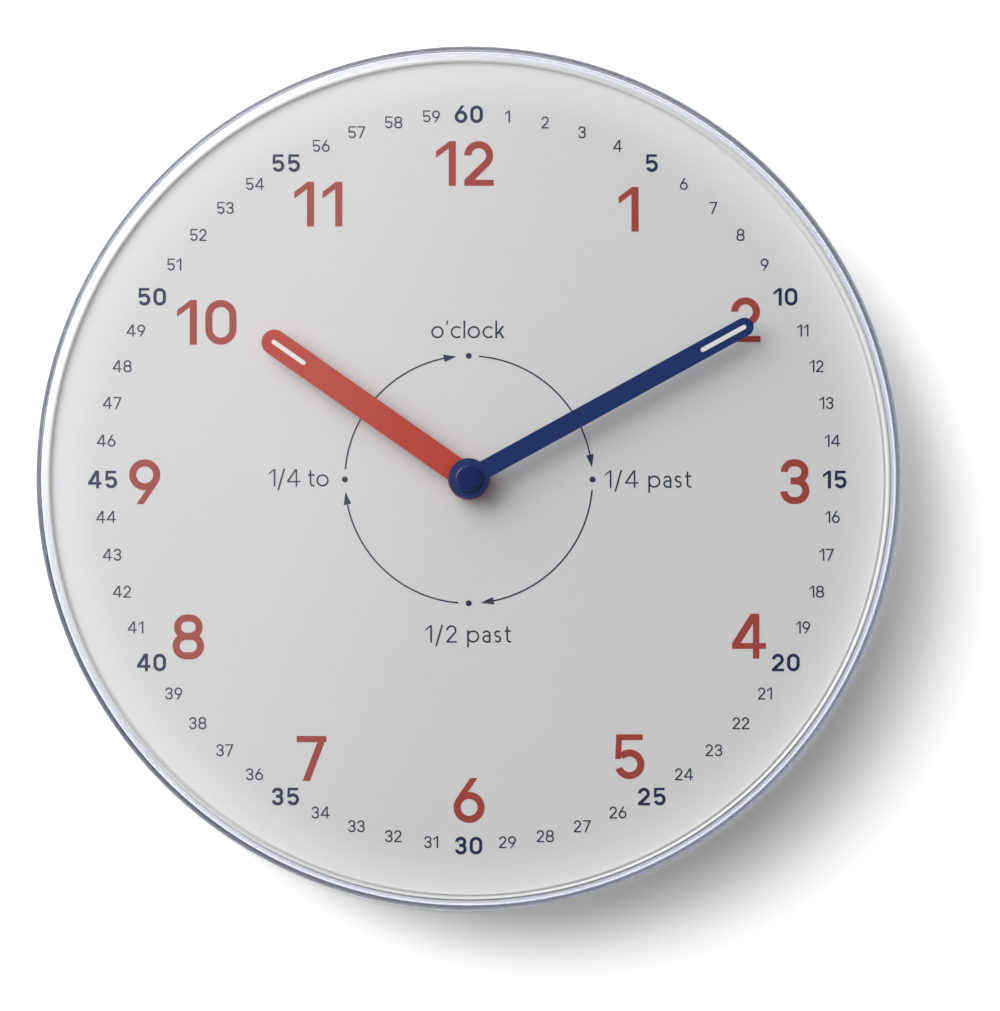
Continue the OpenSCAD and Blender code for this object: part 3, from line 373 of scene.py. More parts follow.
def lathe(name, section, steps, turn=math.tau, closed=False):
    """Spins a section of points (radius, depth) about the hand axis."""
    count = len(section)
    edges = [(i, i + 1) for i in range(count - 1)] + ([(count - 1, 0)] if closed else [])
    piece = new_piece(name, [(radius, depth, 0) for radius, depth in section], edges)
    edit(piece)
    bpy.ops.mesh.spin(steps=steps, angle=turn, center=(0, 0, 0), axis=(0, 1, 0))
    bpy.ops.mesh.select_all(action="SELECT")
    bpy.ops.mesh.remove_doubles(threshold=weld_distance)
    bpy.ops.mesh.select_all(action="SELECT")
    bpy.ops.mesh.fill_holes(sides=0)
    bpy.ops.mesh.select_all(action="SELECT")
    bpy.ops.mesh.normals_make_consistent(inside=False)
    bpy.ops.object.mode_set(mode="OBJECT")
    return piece


print("lathe steps", lathe_steps)

# %% Section of the cover
cover_low, cover_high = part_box("clear_cover")
cover_radius = cover_high[0]
cover_front, cover_back = cover_low[1], cover_high[1]
wall_thickness = 1.6 * MM
window_thickness = 2.0 * MM
outer_round = 2.4 * MM
inner_round = 1.1 * MM


def quarter_arc(radius, depth, size, start, steps=16):
    """Points of a rounded corner of the section, from the angle start, in degrees, back to start - 90."""
    angles = [math.radians(start - 90 * step / steps) for step in range(steps + 1)]
    return [(radius + size * math.cos(angle), depth - size * math.sin(angle)) for angle in angles]


inner_radius = cover_radius - wall_thickness
window_inside = cover_front + window_thickness
flat_radius = cover_radius - outer_round
outer_corner = quarter_arc(flat_radius, cover_front + outer_round, outer_round, 90)
inner_corner = quarter_arc(inner_radius - inner_round, window_inside + inner_round, inner_round, 90)
section = outer_corner + [(cover_radius, cover_back), (inner_radius, cover_back)] + inner_corner[::-1]
cover = lathe("cover", section, lathe_steps)
print("cover", len(cover.data.polygons), "faces")

# %% Slots for the snap beads
slot_count = 6
slot_turn = math.radians(21)
slot_depth = cover_back - 4 * MM
slot_half_length = 0.95 * MM
slot_root = inner_radius - 0.4 * MM
slot_tip = inner_radius + 0.35 * MM
slot_steps = 14
wedge_section = [
    (slot_root, slot_depth - slot_half_length),
    (slot_tip, slot_depth),
    (slot_root, slot_depth + slot_half_length),
]


def combine(whole, other, operation):
    """Adds another solid to a solid or cuts it away, and removes the other one."""
    activate(whole)
    change = whole.modifiers.new("change", "BOOLEAN")
    change.operation = operation
    change.solver = "EXACT"
    change.object = other
    bpy.ops.object.modifier_apply(modifier=change.name)
    bpy.data.objects.remove(other)


for number in range(slot_count):
    wedge = lathe("wedge", wedge_section, slot_steps, slot_turn, closed=True)
    middle = math.tau * number / slot_count
    wedge.data.transform(Matrix.Rotation(middle - slot_turn / 2, 4, "Y"))
    combine(cover, wedge, "DIFFERENCE")
print("slots", slot_count)

# %% Finish on the cover
edge_lean = 0.86
smooth_below = math.radians(30)


def smooth(piece):
    activate(piece)
    bpy.ops.object.shade_smooth_by_angle(angle=smooth_below)


cover.data.materials.append(clear_plastic)
cover.data.materials.append(clear_edge)
# faces that lean outward take the painted reflection colour of the side wall
for face in cover.data.polygons:
    out = Vector((face.center.x, 0, face.center.z)).normalized()
    face.material_index = 1 if face.normal.dot(out) > edge_lean else 0
smooth(cover)
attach(cover, "case")
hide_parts("clear_cover")
print("edge faces", sum(face.material_index for face in cover.data.polygons))

# %% [markdown]
# The carrier has a rim around the dial, with a round front edge. The clear wall magnifies it, and the
# flat facets of the solid rim would show as a wavy line. So a bead is turned over the edge, a few
# hundredths of a millimetre larger than the rim, and the facets stay hidden under it.

# %% Bead on the rim of the carrier
dial_low, dial_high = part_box("dial")
dial_radius, dial_face = dial_high[0], dial_low[1]
rim_gap = 0.6 * MM
rim_wall = 1.3 * MM
rim_rise = 1.2 * MM
bead_cover = 0.05 * MM
bead_size = rim_wall / 2 + bead_cover
bead_middle = dial_radius + rim_gap + rim_wall / 2
bead_centre = dial_face - rim_rise + rim_wall / 2
inner_half = quarter_arc(bead_middle, bead_centre, bead_size, 180)
outer_half = quarter_arc(bead_middle, bead_centre, bead_size, 90)
feet = [(bead_middle + bead_size, dial_face + rim_gap), (bead_middle - bead_size, dial_face + rim_gap)]
rim_bead = lathe("rim_bead", inner_half + outer_half[1:] + feet, lathe_steps, closed=True)
rim_bead.data.materials.append(carrier_plastic)
smooth(rim_bead)
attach(rim_bead, "case")
print("rim_bead", len(rim_bead.data.polygons), "faces")

# %% [markdown]
# ## The movement
# The movement is black moulded plastic with a rough spark-eroded skin, pale gears, and small
# pieces of brass, steel and copper. They are seen from the back, through the window of the rear
# cover, and when somebody opens the part.

# %% Finishes of the movement
black_plastic = finish("movement_plastic", (40, 40, 42), (34, 34, 36), 0.55, 0.14, grain=2600, bump=0.25)
lid_plastic = finish("lid_plastic", (46, 46, 48), (40, 40, 42), 0.48, 0.12, grain=1900, bump=0.2)
knob_plastic = finish("knob_plastic", (212, 212, 208), (202, 202, 198), 0.45, grain=2200, bump=0.08)
gear_plastic = finish("gear_plastic", (232, 226, 205), (226, 219, 196), 0.4, grain=2600, bump=0.05)
bobbin_plastic = finish("bobbin_plastic", (230, 224, 204), (222, 215, 192), 0.5, grain=2600, bump=0.05)
chip_resin = finish("chip_resin", (26, 26, 27), (18, 18, 19), 0.3, 0.15, grain=1200, bump=0.2)
dress(black_plastic, "movement_housing")
dress(lid_plastic, "movement_lid")
dress(knob_plastic, "setting_knob")
dress(gear_plastic, "centre_wheel", "minute_wheel", "hour_wheel", "rotor")
dress(gear_plastic, "third_wheel", "fourth_wheel", "fifth_wheel")
dress(bobbin_plastic, "coil_bobbin")
dress(chip_resin, "driver_chip")

# %% Finishes of the metal pieces
def metal(name, colour, other, roughness, spread, grain, bump):
    return finish(name, colour, other, roughness, spread, grain, bump, metallic=1.0)


arbor_brass = metal("arbor_brass", (208, 172, 96), (196, 158, 84), 0.3, 0.15, grain=900, bump=0.06)
screw_steel = metal("screw_steel", (136, 138, 142), (118, 120, 124), 0.34, 0.16, grain=1500, bump=0.08)
core_steel = metal("core_steel", (150, 152, 156), (136, 138, 142), 0.42, 0.16, grain=1500, bump=0.08)
contact_steel = metal("contact_steel", (206, 206, 208), (190, 190, 192), 0.24, 0.12, grain=1200, bump=0.05)
crystal_can = metal("crystal_can", (212, 212, 212), (198, 198, 198), 0.2, 0.1, grain=1200, bump=0.04)
magnet = finish("magnet", (60, 60, 62), (46, 46, 48), 0.6, 0.2, grain=3000, bump=0.15, metallic=0.7)
dress(arbor_brass, "minute_arbor", "clutch_spring")
dress(screw_steel, "case_screws", "lid_screws", "movement_screws")
dress(core_steel, "stator", "coil_core")
dress(contact_steel, "positive_contact", "negative_contact")
dress(crystal_can, "quartz_crystal")
dress(magnet, "rotor_magnet")

# %% [markdown]
# ## Wire, board and cell
# Three pieces have a pattern that runs along them. The winding shows its turns of enamelled wire,
# the circuit board its tracks under the green lacquer, and the cell its printed jacket between two
# bare steel ends. A wave or a ramp on the piece's own coordinates draws each of them.

# %% Finish with stripes
def striped(name, colour, other, axis, stripes, roughness, metallic, bump):
    material, nodes, links = empty_material(name)
    shader = nodes["Principled BSDF"]
    shader.inputs["Metallic"].default_value = metallic
    place = nodes.new("ShaderNodeTexCoord")
    wave = nodes.new("ShaderNodeTexWave")
    wave.bands_direction = axis
    wave.inputs["Scale"].default_value = stripes
    wave.inputs["Distortion"].default_value = 0.4
    mix = nodes.new("ShaderNodeMix")
    mix.data_type = "RGBA"
    mix.inputs["A"].default_value = screen_colour(*colour)
    mix.inputs["B"].default_value = screen_colour(*other)
    speck = add_grain(nodes, scale=2500, roughness=roughness, spread=0.1)
    links.new(place.outputs["Object"], wave.inputs["Vector"])
    links.new(wave.outputs["Fac"], mix.inputs["Factor"])
    links.new(mix.outputs["Result"], shader.inputs["Base Color"])
    links.new(speck.outputs["Roughness"], shader.inputs["Roughness"])
    add_relief(nodes, links, wave.outputs["Fac"], bump, shader)
    return material


copper_wire = striped(
    "copper_wire", (196, 112, 62), (132, 66, 32), "Z", stripes=2200, roughness=0.34, metallic=1.0, bump=0.6
)
board_lacquer = striped(
    "board_lacquer", (34, 104, 62), (44, 126, 76), "X", stripes=260, roughness=0.36, metallic=0.0, bump=0.15
)
dress(copper_wire, "coil_winding")
dress(board_lacquer, "circuit_board")

# %% Jacket of the cell
cell_low, cell_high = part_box("battery")
cell_length = cell_high[0] - cell_low[0]
cell_jacket, nodes, links = empty_material("cell_jacket")
shader = nodes["Principled BSDF"]
place = nodes.new("ShaderNodeTexCoord")
split = nodes.new("ShaderNodeSeparateXYZ")
along = nodes.new("ShaderNodeMapRange")
along.inputs["From Min"].default_value = cell_low[0]
along.inputs["From Max"].default_value = cell_high[0]
links.new(place.outputs["Object"], split.inputs[0])
links.new(split.outputs["X"], along.inputs["Value"])


def ramp_along(stops):
    ramp = nodes.new("ShaderNodeValToRGB")
    ramp.color_ramp.interpolation = "CONSTANT"
    points = ramp.color_ramp.elements
    while len(points) < len(stops):
        points.new(1)
    for point, (start, colour) in zip(points, stops):
        point.position = start / cell_length
        point.color = colour
    links.new(along.outputs["Result"], ramp.inputs["Fac"])
    return ramp.outputs["Color"]


bare_end = 0.8 * MM
band_start = 35 * MM
shoulder = cell_length - 2.4 * MM
steel_tone = screen_colour(196, 196, 198)
links.new(ramp_along([
    (0, steel_tone),
    (bare_end, screen_colour(38, 40, 44)),
    (band_start, screen_colour(176, 120, 62)),
    (shoulder, steel_tone),
]), shader.inputs["Base Color"])
links.new(ramp_along([
    (0, (1, 1, 1, 1)),
    (bare_end, (0, 0, 0, 1)),
    (band_start, (0.6, 0.6, 0.6, 1)),
    (shoulder, (1, 1, 1, 1)),
]), shader.inputs["Metallic"])
film = add_grain(nodes, scale=500, roughness=0.26, spread=0.1)
links.new(film.outputs["Roughness"], shader.inputs["Roughness"])
dress(cell_jacket, "battery")

# %% [markdown]
# ## Strokes of a pen
# The numbers on the dial are plain, even strokes, like those of a drawing pen. A typeface with such
# figures isn't built into Blender, so each figure is drawn: a stroke starts as one edge as wide as
# the pen, and is then extruded along lines and spun along arcs. All figures are one unit high here,
# and are drawn once for each width of pen.

# %% Pen strokes
FINE_STEP = math.radians(10)
COARSE_STEP = math.radians(20)
RING_STEP = math.radians(2)
PEN_WELD = 0.0001


def flat_piece(name, corners, edges, faces):
    return new_piece(name, [(x, 0, z) for x, z in corners], edges, faces)


def thicken(piece):
    """Makes a flat piece one unit thick towards the viewer."""
    edit(piece)
    bpy.ops.mesh.extrude_region_move(TRANSFORM_OT_translate={"value": (0, -1, 0)})
    bpy.ops.mesh.select_all(action="SELECT")
    bpy.ops.mesh.normals_make_consistent(inside=False)
    bpy.ops.object.mode_set(mode="OBJECT")
    return piece


def united(pieces, name):
    """One solid from pieces that overlap."""
    whole = pieces[0]
    for other in pieces[1:]:
        combine(whole, other, "UNION")
    whole.name = whole.data.name = name
    return whole


def pen_stroke(corner, other_corner, moves, arc_step=FINE_STEP):
    stroke = flat_piece("stroke", [corner, other_corner], [(0, 1)], [])
    edit(stroke)
    for move in moves:
        if move[0] == "line":
            bpy.ops.mesh.extrude_region_move(TRANSFORM_OT_translate={"value": (move[1], 0, move[2])})
        else:
            angle = math.radians(move[3])
            steps = max(2, round(abs(angle) / arc_step))
            bpy.ops.mesh.spin(steps=steps, angle=angle, center=(move[1], 0, move[2]), axis=(0, 1, 0))
    bpy.ops.mesh.select_all(action="SELECT")
    bpy.ops.mesh.remove_doubles(threshold=PEN_WELD)
    bpy.ops.object.mode_set(mode="OBJECT")
    return thicken(stroke)


print("arcs in steps of", [round(math.degrees(step)) for step in (FINE_STEP, COARSE_STEP, RING_STEP)])

# %% Lines, arcs and loops
def line(x, z):
    return ("line", x, z)


def arc(x, z, angle):
    return ("arc", x, z, angle)


def arc_start(x, z, radius, pen, degrees):
    """The two corners of the edge that an arc about (x, z) starts with."""
    angle = math.radians(degrees)
    return [(x + r * math.cos(angle), z + r * math.sin(angle)) for r in (radius - pen / 2, radius + pen / 2)]


def tangent_point(x, z, radius, from_x, from_z):
    distance = math.hypot(from_x - x, from_z - z)
    angle = math.atan2(from_z - z, from_x - x) + math.acos(radius / distance)
    return angle, x + radius * math.cos(angle), z + radius * math.sin(angle)


def loop(x, z, reach, radius, pen):
    """Closed round stroke about (x, z), with its sides set apart by reach on each side."""
    start = (x + reach, z + radius)
    return ((start[0], start[1] - pen / 2), (start[0], start[1] + pen / 2), [
        line(-2 * reach, 0),
        arc(x - reach, z, 180),
        line(2 * reach, 0),
        arc(x + reach, z, 180),
    ])


print("moves of a loop:", *[move[0] for move in loop(x=0, z=0, reach=1, radius=1, pen=0.1)[2]])

# %% [markdown]
# ## The figures
# Each function below gives the strokes of one figure for a pen of a given width: the two corners of
# its first edge, then its lines and arcs. The 9 is the 6 turned by half a turn.

# %% Figures from 0 to 4
ROUND_RADIUS = 0.2675


def figure_0(pen):
    radius = ROUND_RADIUS
    left, right = pen / 2, pen / 2 + 2 * radius
    middle, low, high = left + radius, pen / 2 + radius, 1 - pen / 2 - radius
    moves = [line(0, high - low), arc(middle, high, 180), line(0, low - high), arc(middle, low, 180)]
    return right + pen / 2, [((right - pen / 2, low), (right + pen / 2, low), moves)]


def figure_1(pen):
    flag, flag_end = 0.283, 0.775
    stem = ((flag, 0), (flag + pen, 0), [line(0, 1)])
    slant = ((0, flag_end - 0.95 * pen), (0, flag_end), [line(flag + 0.1 * pen, 1 - flag_end)])
    return flag + pen, [stem, slant]


def figure_2(pen):
    radius, bar = 0.2425, 0.86 * pen
    x, z = pen / 2 + radius, 1 - pen / 2 - radius
    foot = (0.35 * pen, 0.49 * pen)
    angle, touch_x, touch_z = tangent_point(x, z, radius, *foot)
    moves = [arc(x, z, math.degrees(angle) - 180), line(foot[0] - touch_x, foot[1] - touch_z)]
    hook = ((x - radius - pen / 2, z), (x - radius + pen / 2, z), moves)
    width = 2 * radius + pen + 0.012
    return width, [hook, ((0, 0), (0, bar), [line(width, 0)])]


def figure_3(pen):
    upper, lower, reach, tongue = 0.2395 * (1 - pen), 0.2605 * (1 - pen), 0.05, 0.23
    width = 2 * lower + reach + pen
    low, middle, high = pen / 2 + lower, pen / 2 + 2 * lower, 1 - pen / 2 - upper
    low_left, low_right = pen / 2 + lower, width - pen / 2 - lower
    high_left, high_right = pen / 2 + upper + 0.012, width - pen / 2 - upper - 0.02
    top = ((high_left - upper - pen / 2, high), (high_left - upper + pen / 2, high), [
        arc(high_left, high, -90),
        line(high_right - high_left, 0),
        arc(high_right, high, -180),
        line(tongue - high_right, 0),
    ])
    bottom = ((tongue, middle - pen / 2), (tongue, middle + pen / 2), [
        line(low_right - tongue, 0),
        arc(low_right, low, -180),
        line(low_left - low_right, 0),
        arc(low_left, low, -86),
    ])
    return width, [top, bottom]


def figure_4(pen):
    stem, bar, slant = 0.9 * pen, 0.82 * pen, 1.2 * pen
    stem_left, bar_low, width = 0.535 - stem / 2, 0.28 - bar / 2, 0.754
    top_right = stem_left + stem
    slope = ((0, bar_low + bar), (slant, bar_low + bar), [line(top_right - slant, 1 - bar_low - bar)])
    post = ((stem_left, 0), (stem_left + stem, 0), [line(0, 1)])
    across = ((0, bar_low), (0, bar_low + bar), [line(width, 0)])
    return width, [slope, post, across]


FIGURES = {"0": figure_0, "1": figure_1, "2": figure_2, "3": figure_3, "4": figure_4}
print("figures", " ".join(FIGURES))

# %% Figures from 5 to 9
def figure_5(pen):
    bowl, bar, flag = 0.2525, 0.82 * pen, 0.59
    x, z = 0.2825 + pen / 2, bowl + pen / 2
    start, end = 138, 199.7
    low_left, high_left, waist = 0.042, 0.066, 0.45
    curve = (*arc_start(x, z, bowl, pen, start), [arc(x, z, end - 360 - start)])
    stem = ((low_left, waist), (low_left + bar, waist), [line(high_left - low_left, 1 - waist)])
    top = ((high_left, 1 - bar), (high_left, 1), [line(flag, 0)])
    return x + bowl + pen / 2, [curve, stem, top]


def figure_6(pen):
    radius, lean = ROUND_RADIUS, 0.025
    middle = radius + pen / 2
    top_left = middle + lean
    _, touch_x, touch_z = tangent_point(middle, middle, radius + pen / 2, top_left, 1)
    slant = ((top_left, 1), (top_left + pen, 1), [line(touch_x - top_left, touch_z - 1)])
    return 2 * middle, [loop(middle, middle, 0, radius, pen), slant]


def figure_7(pen):
    bar, width, foot, foot_width, rise = 0.86 * pen, 0.662, 0.1325, 1.02 * pen, 0.965
    top = ((0, 1 - bar), (0, 1), [line(width, 0)])
    slant = ((foot, 0), (foot + foot_width, 0), [line(width - foot - foot_width, rise)])
    return width, [top, slant]


def figure_8(pen):
    upper, lower = 0.2425 * (1 - pen), 0.2575 * (1 - pen)
    upper_reach, lower_reach = 0.0375, 0.056
    middle = lower + lower_reach + pen / 2
    low = loop(middle, pen / 2 + lower, lower_reach, lower, pen)
    high = loop(middle, 1 - pen / 2 - upper, upper_reach, upper, pen)
    return 2 * middle, [low, high]


def figure_9(pen):
    width, strokes = figure_6(pen)
    def turned(x, z):
        return (width - x, 1 - z)
    def turned_move(move):
        return line(-move[1], -move[2]) if move[0] == "line" else arc(*turned(move[1], move[2]), move[3])
    return width, [(turned(*a), turned(*b), [turned_move(m) for m in moves]) for a, b, moves in strokes]


FIGURES |= {"5": figure_5, "6": figure_6, "7": figure_7, "8": figure_8, "9": figure_9}
print("figures", " ".join(FIGURES))

# %% [markdown]
# ## Letters of the quarter words
# The ring in the middle names the quarters of an hour in plain words. They use few letters, drawn
# in the same way, with small letters about seven tenths as high as the figures.

# %% Letters o, c, l, k and p
SMALL = 0.71
TALL = 1.02


def letter_o(pen):
    radius = (SMALL - pen) / 2
    return SMALL, [loop(SMALL / 2, SMALL / 2, 0, radius, pen)]


def letter_c(pen):
    radius, gap = (SMALL - pen) / 2, 48
    x = SMALL / 2
    return 0.6, [(*arc_start(x, x, radius, pen, gap), [arc(x, x, 360 - 2 * gap)])]


def letter_l(pen):
    return pen, [((0, 0), (pen, 0), [line(0, TALL)])]


def letter_k(pen):
    elbow, elbow_rise, arm_width = 0.02, 0.22, 1.35 * pen
    heel, leg_width = 0.4, 1.25 * pen
    stem = ((0, 0), (pen, 0), [line(0, TALL)])
    arm = ((elbow, elbow_rise), (elbow + arm_width, elbow_rise), [line(0.36, SMALL - elbow_rise)])
    leg = ((heel, 0), (heel + leg_width, 0), [line(-0.25, 0.41)])
    return heel + leg_width, [stem, arm, leg]


def letter_p(pen):
    tail = 0.28
    stem = ((0, -tail), (pen, -tail), [line(0, SMALL + tail)])
    radius = (SMALL - pen) / 2
    bowl = loop(pen / 2 + 0.95 * radius, SMALL / 2, 0, radius, pen)
    return 1.95 * radius + pen, [stem, bowl]


LETTERS = {"o": letter_o, "c": letter_c, "l": letter_l, "k": letter_k, "p": letter_p}
print("letters", " ".join(LETTERS))

# %% Letters a, s and t, and two signs
def letter_a(pen):
    stem, shoulder, bowl = 0.42, 0.185, (0.44 - pen) / 2
    high, start = SMALL - pen / 2 - shoulder, 160
    corners = arc_start(stem - shoulder, high, shoulder, pen, start)
    back = (*corners, [arc(stem - shoulder, high, -start), line(0, -high)])
    middle = pen / 2 + bowl
    belly = ((stem, middle + bowl - pen / 2), (stem, middle + bowl + pen / 2), [
        line(bowl + pen / 2 - stem, 0),
        arc(bowl + pen / 2, middle, 180),
        line(stem - bowl - pen / 2, 0),
    ])
    return stem + pen / 2, [back, belly]


def letter_s(pen):
    radius = (SMALL - pen) / 4
    x, high = pen / 2 + 1.15 * radius, SMALL - pen / 2 - radius
    start, turn = 32, 238
    moves = [arc(x, high, turn), arc(x, high - 2 * radius, -turn)]
    return 2.3 * radius + pen, [(*arc_start(x, high, radius, pen, start), moves)]


def letter_t(pen):
    stem, bend, top, foot, bar = 0.14, 0.16, 0.93, 0.07, 0.36
    post = ((stem + pen / 2, top), (stem - pen / 2, top), [
        line(0, bend + pen / 2 - top),
        arc(stem + bend, bend + pen / 2, 90),
        line(foot, 0),
    ])
    return 0.37, [post, ((0, SMALL - pen), (0, SMALL), [line(bar, 0)])]


def apostrophe(pen):
    return 0.12, [((0, 0.78), (0.85 * pen, 0.78), [line(0.04, 0.24)])]


def fraction_bar(pen):
    low, lean = -0.22, 0.36
    return lean + pen, [((0, low), (pen, low), [line(lean, TALL - low)])]


LETTERS |= {"a": letter_a, "s": letter_s, "t": letter_t, "'": apostrophe, "/": fraction_bar}
SHAPES = {**FIGURES, **LETTERS}
print("letters", " ".join(LETTERS))

# %% [markdown]
# ## Setting a number or a word
# A figure is drawn once for each pen, and every number on the dial takes copies of it. The copies
# are scaled to their height, set side by side and joined. They are one unit thick up to then, and at
# the end the whole print is pressed to a few hundredths of a millimetre, as thick as a layer of ink.

# %% Setting of print
drawn = {}
hour_pen = 0.158
bold_pen = 0.178
thin_pen = 0.124
space_width = 0.24
ink_thickness = 0.05 * MM
ink_root = 0.02 * MM


def join(pieces, name):
    deselect()
    for piece in pieces:
        piece.select_set(True)
    bpy.context.view_layer.objects.active = pieces[0]
    bpy.ops.object.join()
    pieces[0].name = name
    pieces[0].data.name = name
    return pieces[0]


def figure(character, pen):
    if (character, pen) not in drawn:
        width, strokes = SHAPES[character](pen)
        arc_step = FINE_STEP if pen > thin_pen else COARSE_STEP
        shape = united([pen_stroke(*stroke, arc_step) for stroke in strokes], "figure")
        shape.hide_render = True
        drawn[character, pen] = (shape, width)
    return drawn[character, pen]


def copy_of(shape):
    twin = shape.copy()
    twin.data = shape.data.copy()
    twin.hide_render = False
    bpy.context.scene.collection.objects.link(twin)
    return twin


def width_of(text, pen, gap):
    widths = [figure(character, pen)[1] if character != " " else space_width for character in text]
    return sum(widths) + gap * (len(text) - 1)


def set_text(text, x, z, height, pen, gap):
    """Copies of the figures of a text, centred on x and on the middle of the figures' height."""
    pieces = []
    pen_x = x - width_of(text, pen, gap) * height / 2
    for character in text:
        if character == " ":
            pen_x += (space_width + gap) * height
            continue
        shape, width = figure(character, pen)
        twin = copy_of(shape)
        shift = Matrix.Translation((pen_x, 0, z - height / 2))
        twin.data.transform(shift @ Matrix.Diagonal((height, 1, height, 1)))
        pieces.append(twin)
        pen_x += (width + gap) * height
    return pieces


def ink_layer(pieces, name, ink):
    """Joins pieces one unit thick into a thin layer of ink on the face of the dial."""
    layer = join(pieces, name)
    thin = Matrix.Diagonal((1, ink_thickness + ink_root, 1, 1))
    layer.data.transform(Matrix.Translation((0, dial_face + ink_root, 0)) @ thin)
    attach(layer, "case")
    layer.data.materials.append(ink)
    print(name, len(layer.data.polygons), "faces")


print("pens", hour_pen, bold_pen, thin_pen)

# %% [markdown]
# ## Hours and minutes
# The hours are large and red, like the hand that points to them. Around them runs the ring of sixty
# minutes in blue: every fifth one is bold, the others are small and thin so that a learner can find
# the fives first. All stand quarter_turn. A number's shape decides how its place looks, so the hours are
# nudged from their ring, and the wide ones sit further in to clear the minutes.

# %% Inks
red_ink = finish("red_ink", (172, 69, 61), (166, 65, 57), 0.5, grain=5000, bump=0.03, shine=0.25)
navy_ink = finish("navy_ink", (37, 43, 82), (33, 39, 75), 0.5, grain=5000, bump=0.03, shine=0.25)
slate_ink = finish("slate_ink", (51, 56, 76), (46, 51, 70), 0.5, grain=5000, bump=0.03, shine=0.25)
print("inks", red_ink.name, navy_ink.name, slate_ink.name)

# %% Hour numbers
hour_ring = 74.2 * MM
hour_height = 10.4 * MM
hour_gap = 0.19
hour_nudge = {
    1: (0, -1.5), 3: (1.4, -0.5), 4: (0.7, 0.8), 6: (0.1, -0.2), 7: (0.7, -0.4), 8: (-0.7, 0.6),
    9: (-0.9, -0.5), 10: (3.5, -0.6), 11: (2.2, -0.3), 12: (-0.9, -0.8),
}


def on_ring(radius, share):
    angle = math.tau * share
    return radius * math.sin(angle), radius * math.cos(angle)


pieces = []
for hour in range(1, 13):
    x, z = on_ring(hour_ring, hour / 12)
    right, up = hour_nudge.get(hour, (0, 0))
    pieces += set_text(str(hour), x + right * MM, z + up * MM, hour_height, hour_pen, hour_gap)
ink_layer(pieces, "hour_numbers", red_ink)

# %% Minute numbers
five_ring = 84.85 * MM
single_ring = 84.65 * MM
single_nudge = 0.15 * MM
five_height = 4.1 * MM
single_height = 2.8 * MM
five_gap, single_gap = 0.17, 0.13
fives, singles = [], []
for minute in range(1, 61):
    if minute % 5 == 0:
        x, z = on_ring(five_ring, minute / 60)
        fives += set_text(str(minute), x, z, five_height, bold_pen, five_gap)
    else:
        x, z = [place + single_nudge for place in on_ring(single_ring, minute / 60)]
        singles += set_text(str(minute), x, z, single_height, thin_pen, single_gap)
ink_layer(fives, "five_minute_numbers", navy_ink)
ink_layer(singles, "minute_numbers", slate_ink)

# %% [markdown]
# ## The ring of quarters
# Four arrows run clockwise from dot to dot, and a few words outside them name each quarter. An arc
# is one pen stroke, spun about the hand axis, with a slim triangle as its head. Each word has a place
# and a width, and the gaps between its letters follow from the width.

# %% Arrows and dots
quarter_ring = 28.7
ring_line = 0.35
dot_radius = 0.7
head_length = 3.0
head_width = 1.8
start_gap = 2.4
tip_gap = 2.8
quarter_turn = (math.pi / 2, 0, 0)


def ring_arrow(radius, start, sweep, pen, length, width):
    """Clockwise arrow on a circle about the hand axis, with angles from 12 o'clock in radians."""
    head = length / radius
    inner = on_ring(radius - pen / 2, start / math.tau)
    outer = on_ring(radius + pen / 2, start / math.tau)
    body = pen_stroke(inner, outer, [arc(0, 0, -math.degrees(sweep - head / 2))], RING_STEP)
    base = (start + sweep - head) / math.tau
    tip = on_ring(radius, (start + sweep) / math.tau)
    corners = [on_ring(radius - width / 2, base), tip, on_ring(radius + width / 2, base)]
    point = thicken(flat_piece("arrow_head", corners, [], [(0, 1, 2)]))
    return united([body, point], "arrow")


def dot(x, z, radius):
    deselect()
    bpy.ops.mesh.primitive_circle_add(vertices=24, radius=radius, fill_type="NGON", rotation=quarter_turn)
    spot = bpy.context.object
    bpy.ops.object.transform_apply(rotation=True)
    spot.data.transform(Matrix.Translation((x, 0, z)))
    return thicken(spot)


pieces = []
for quarter in range(4):
    sweep = math.tau / 4 - (start_gap + tip_gap) / quarter_ring
    start = math.tau * quarter / 4 + start_gap / quarter_ring
    pieces.append(ring_arrow(quarter_ring, start, sweep, ring_line, head_length, head_width))
    pieces.append(dot(*on_ring(quarter_ring, quarter / 4), dot_radius))
for piece in pieces:
    piece.data.transform(Matrix.Diagonal((MM, 1, MM, 1)))
ink_layer(pieces, "quarter_arrows", slate_ink)

# %% Words of the quarters
word_height = 4.05 * MM
word_pen = 0.098
word_places = [
    ("o'clock", -0.2, 34.8, 17.0),
    ("1/4 past", 41.6, 0.1, 20.1),
    ("1/2 past", -0.1, -35.8, 19.9),
    ("1/4 to", -39.4, 0.4, 13.9),
]
pieces = []
for text, x, z, width in word_places:
    tight = width_of(text, word_pen, 0)
    gap = (width * MM / word_height - tight) / (len(text) - 1)
    pieces += set_text(text, x * MM, z * MM, word_height, word_pen, gap)
    print(text, "gap", round(gap, 3))
ink_layer(pieces, "quarter_words", slate_ink)

# %% [markdown]
# ## Relief on the back of the movement
# A movement lid is moulded with small bosses over its pivots, a + and a - beside the cell, and an
# arrow around the setting knob that says which way the hands go forward. All of it is thin and part
# of the same moulding, so it lies on the rear face of the lid. The bosses are short cylinders with a
# dimple and a soft edge, and the marks are drawn with the pen. The raised faces are paler than the
# lid.

# %% Finish of the relief
# the raised relief is coloured paler than the lid
pale_relief_plastic = finish(
    "pale_relief_plastic", (104, 104, 106), (88, 88, 90), 0.42, 0.12, grain=1900, bump=0.15, drift=300
)
print("relief finish", pale_relief_plastic.name)

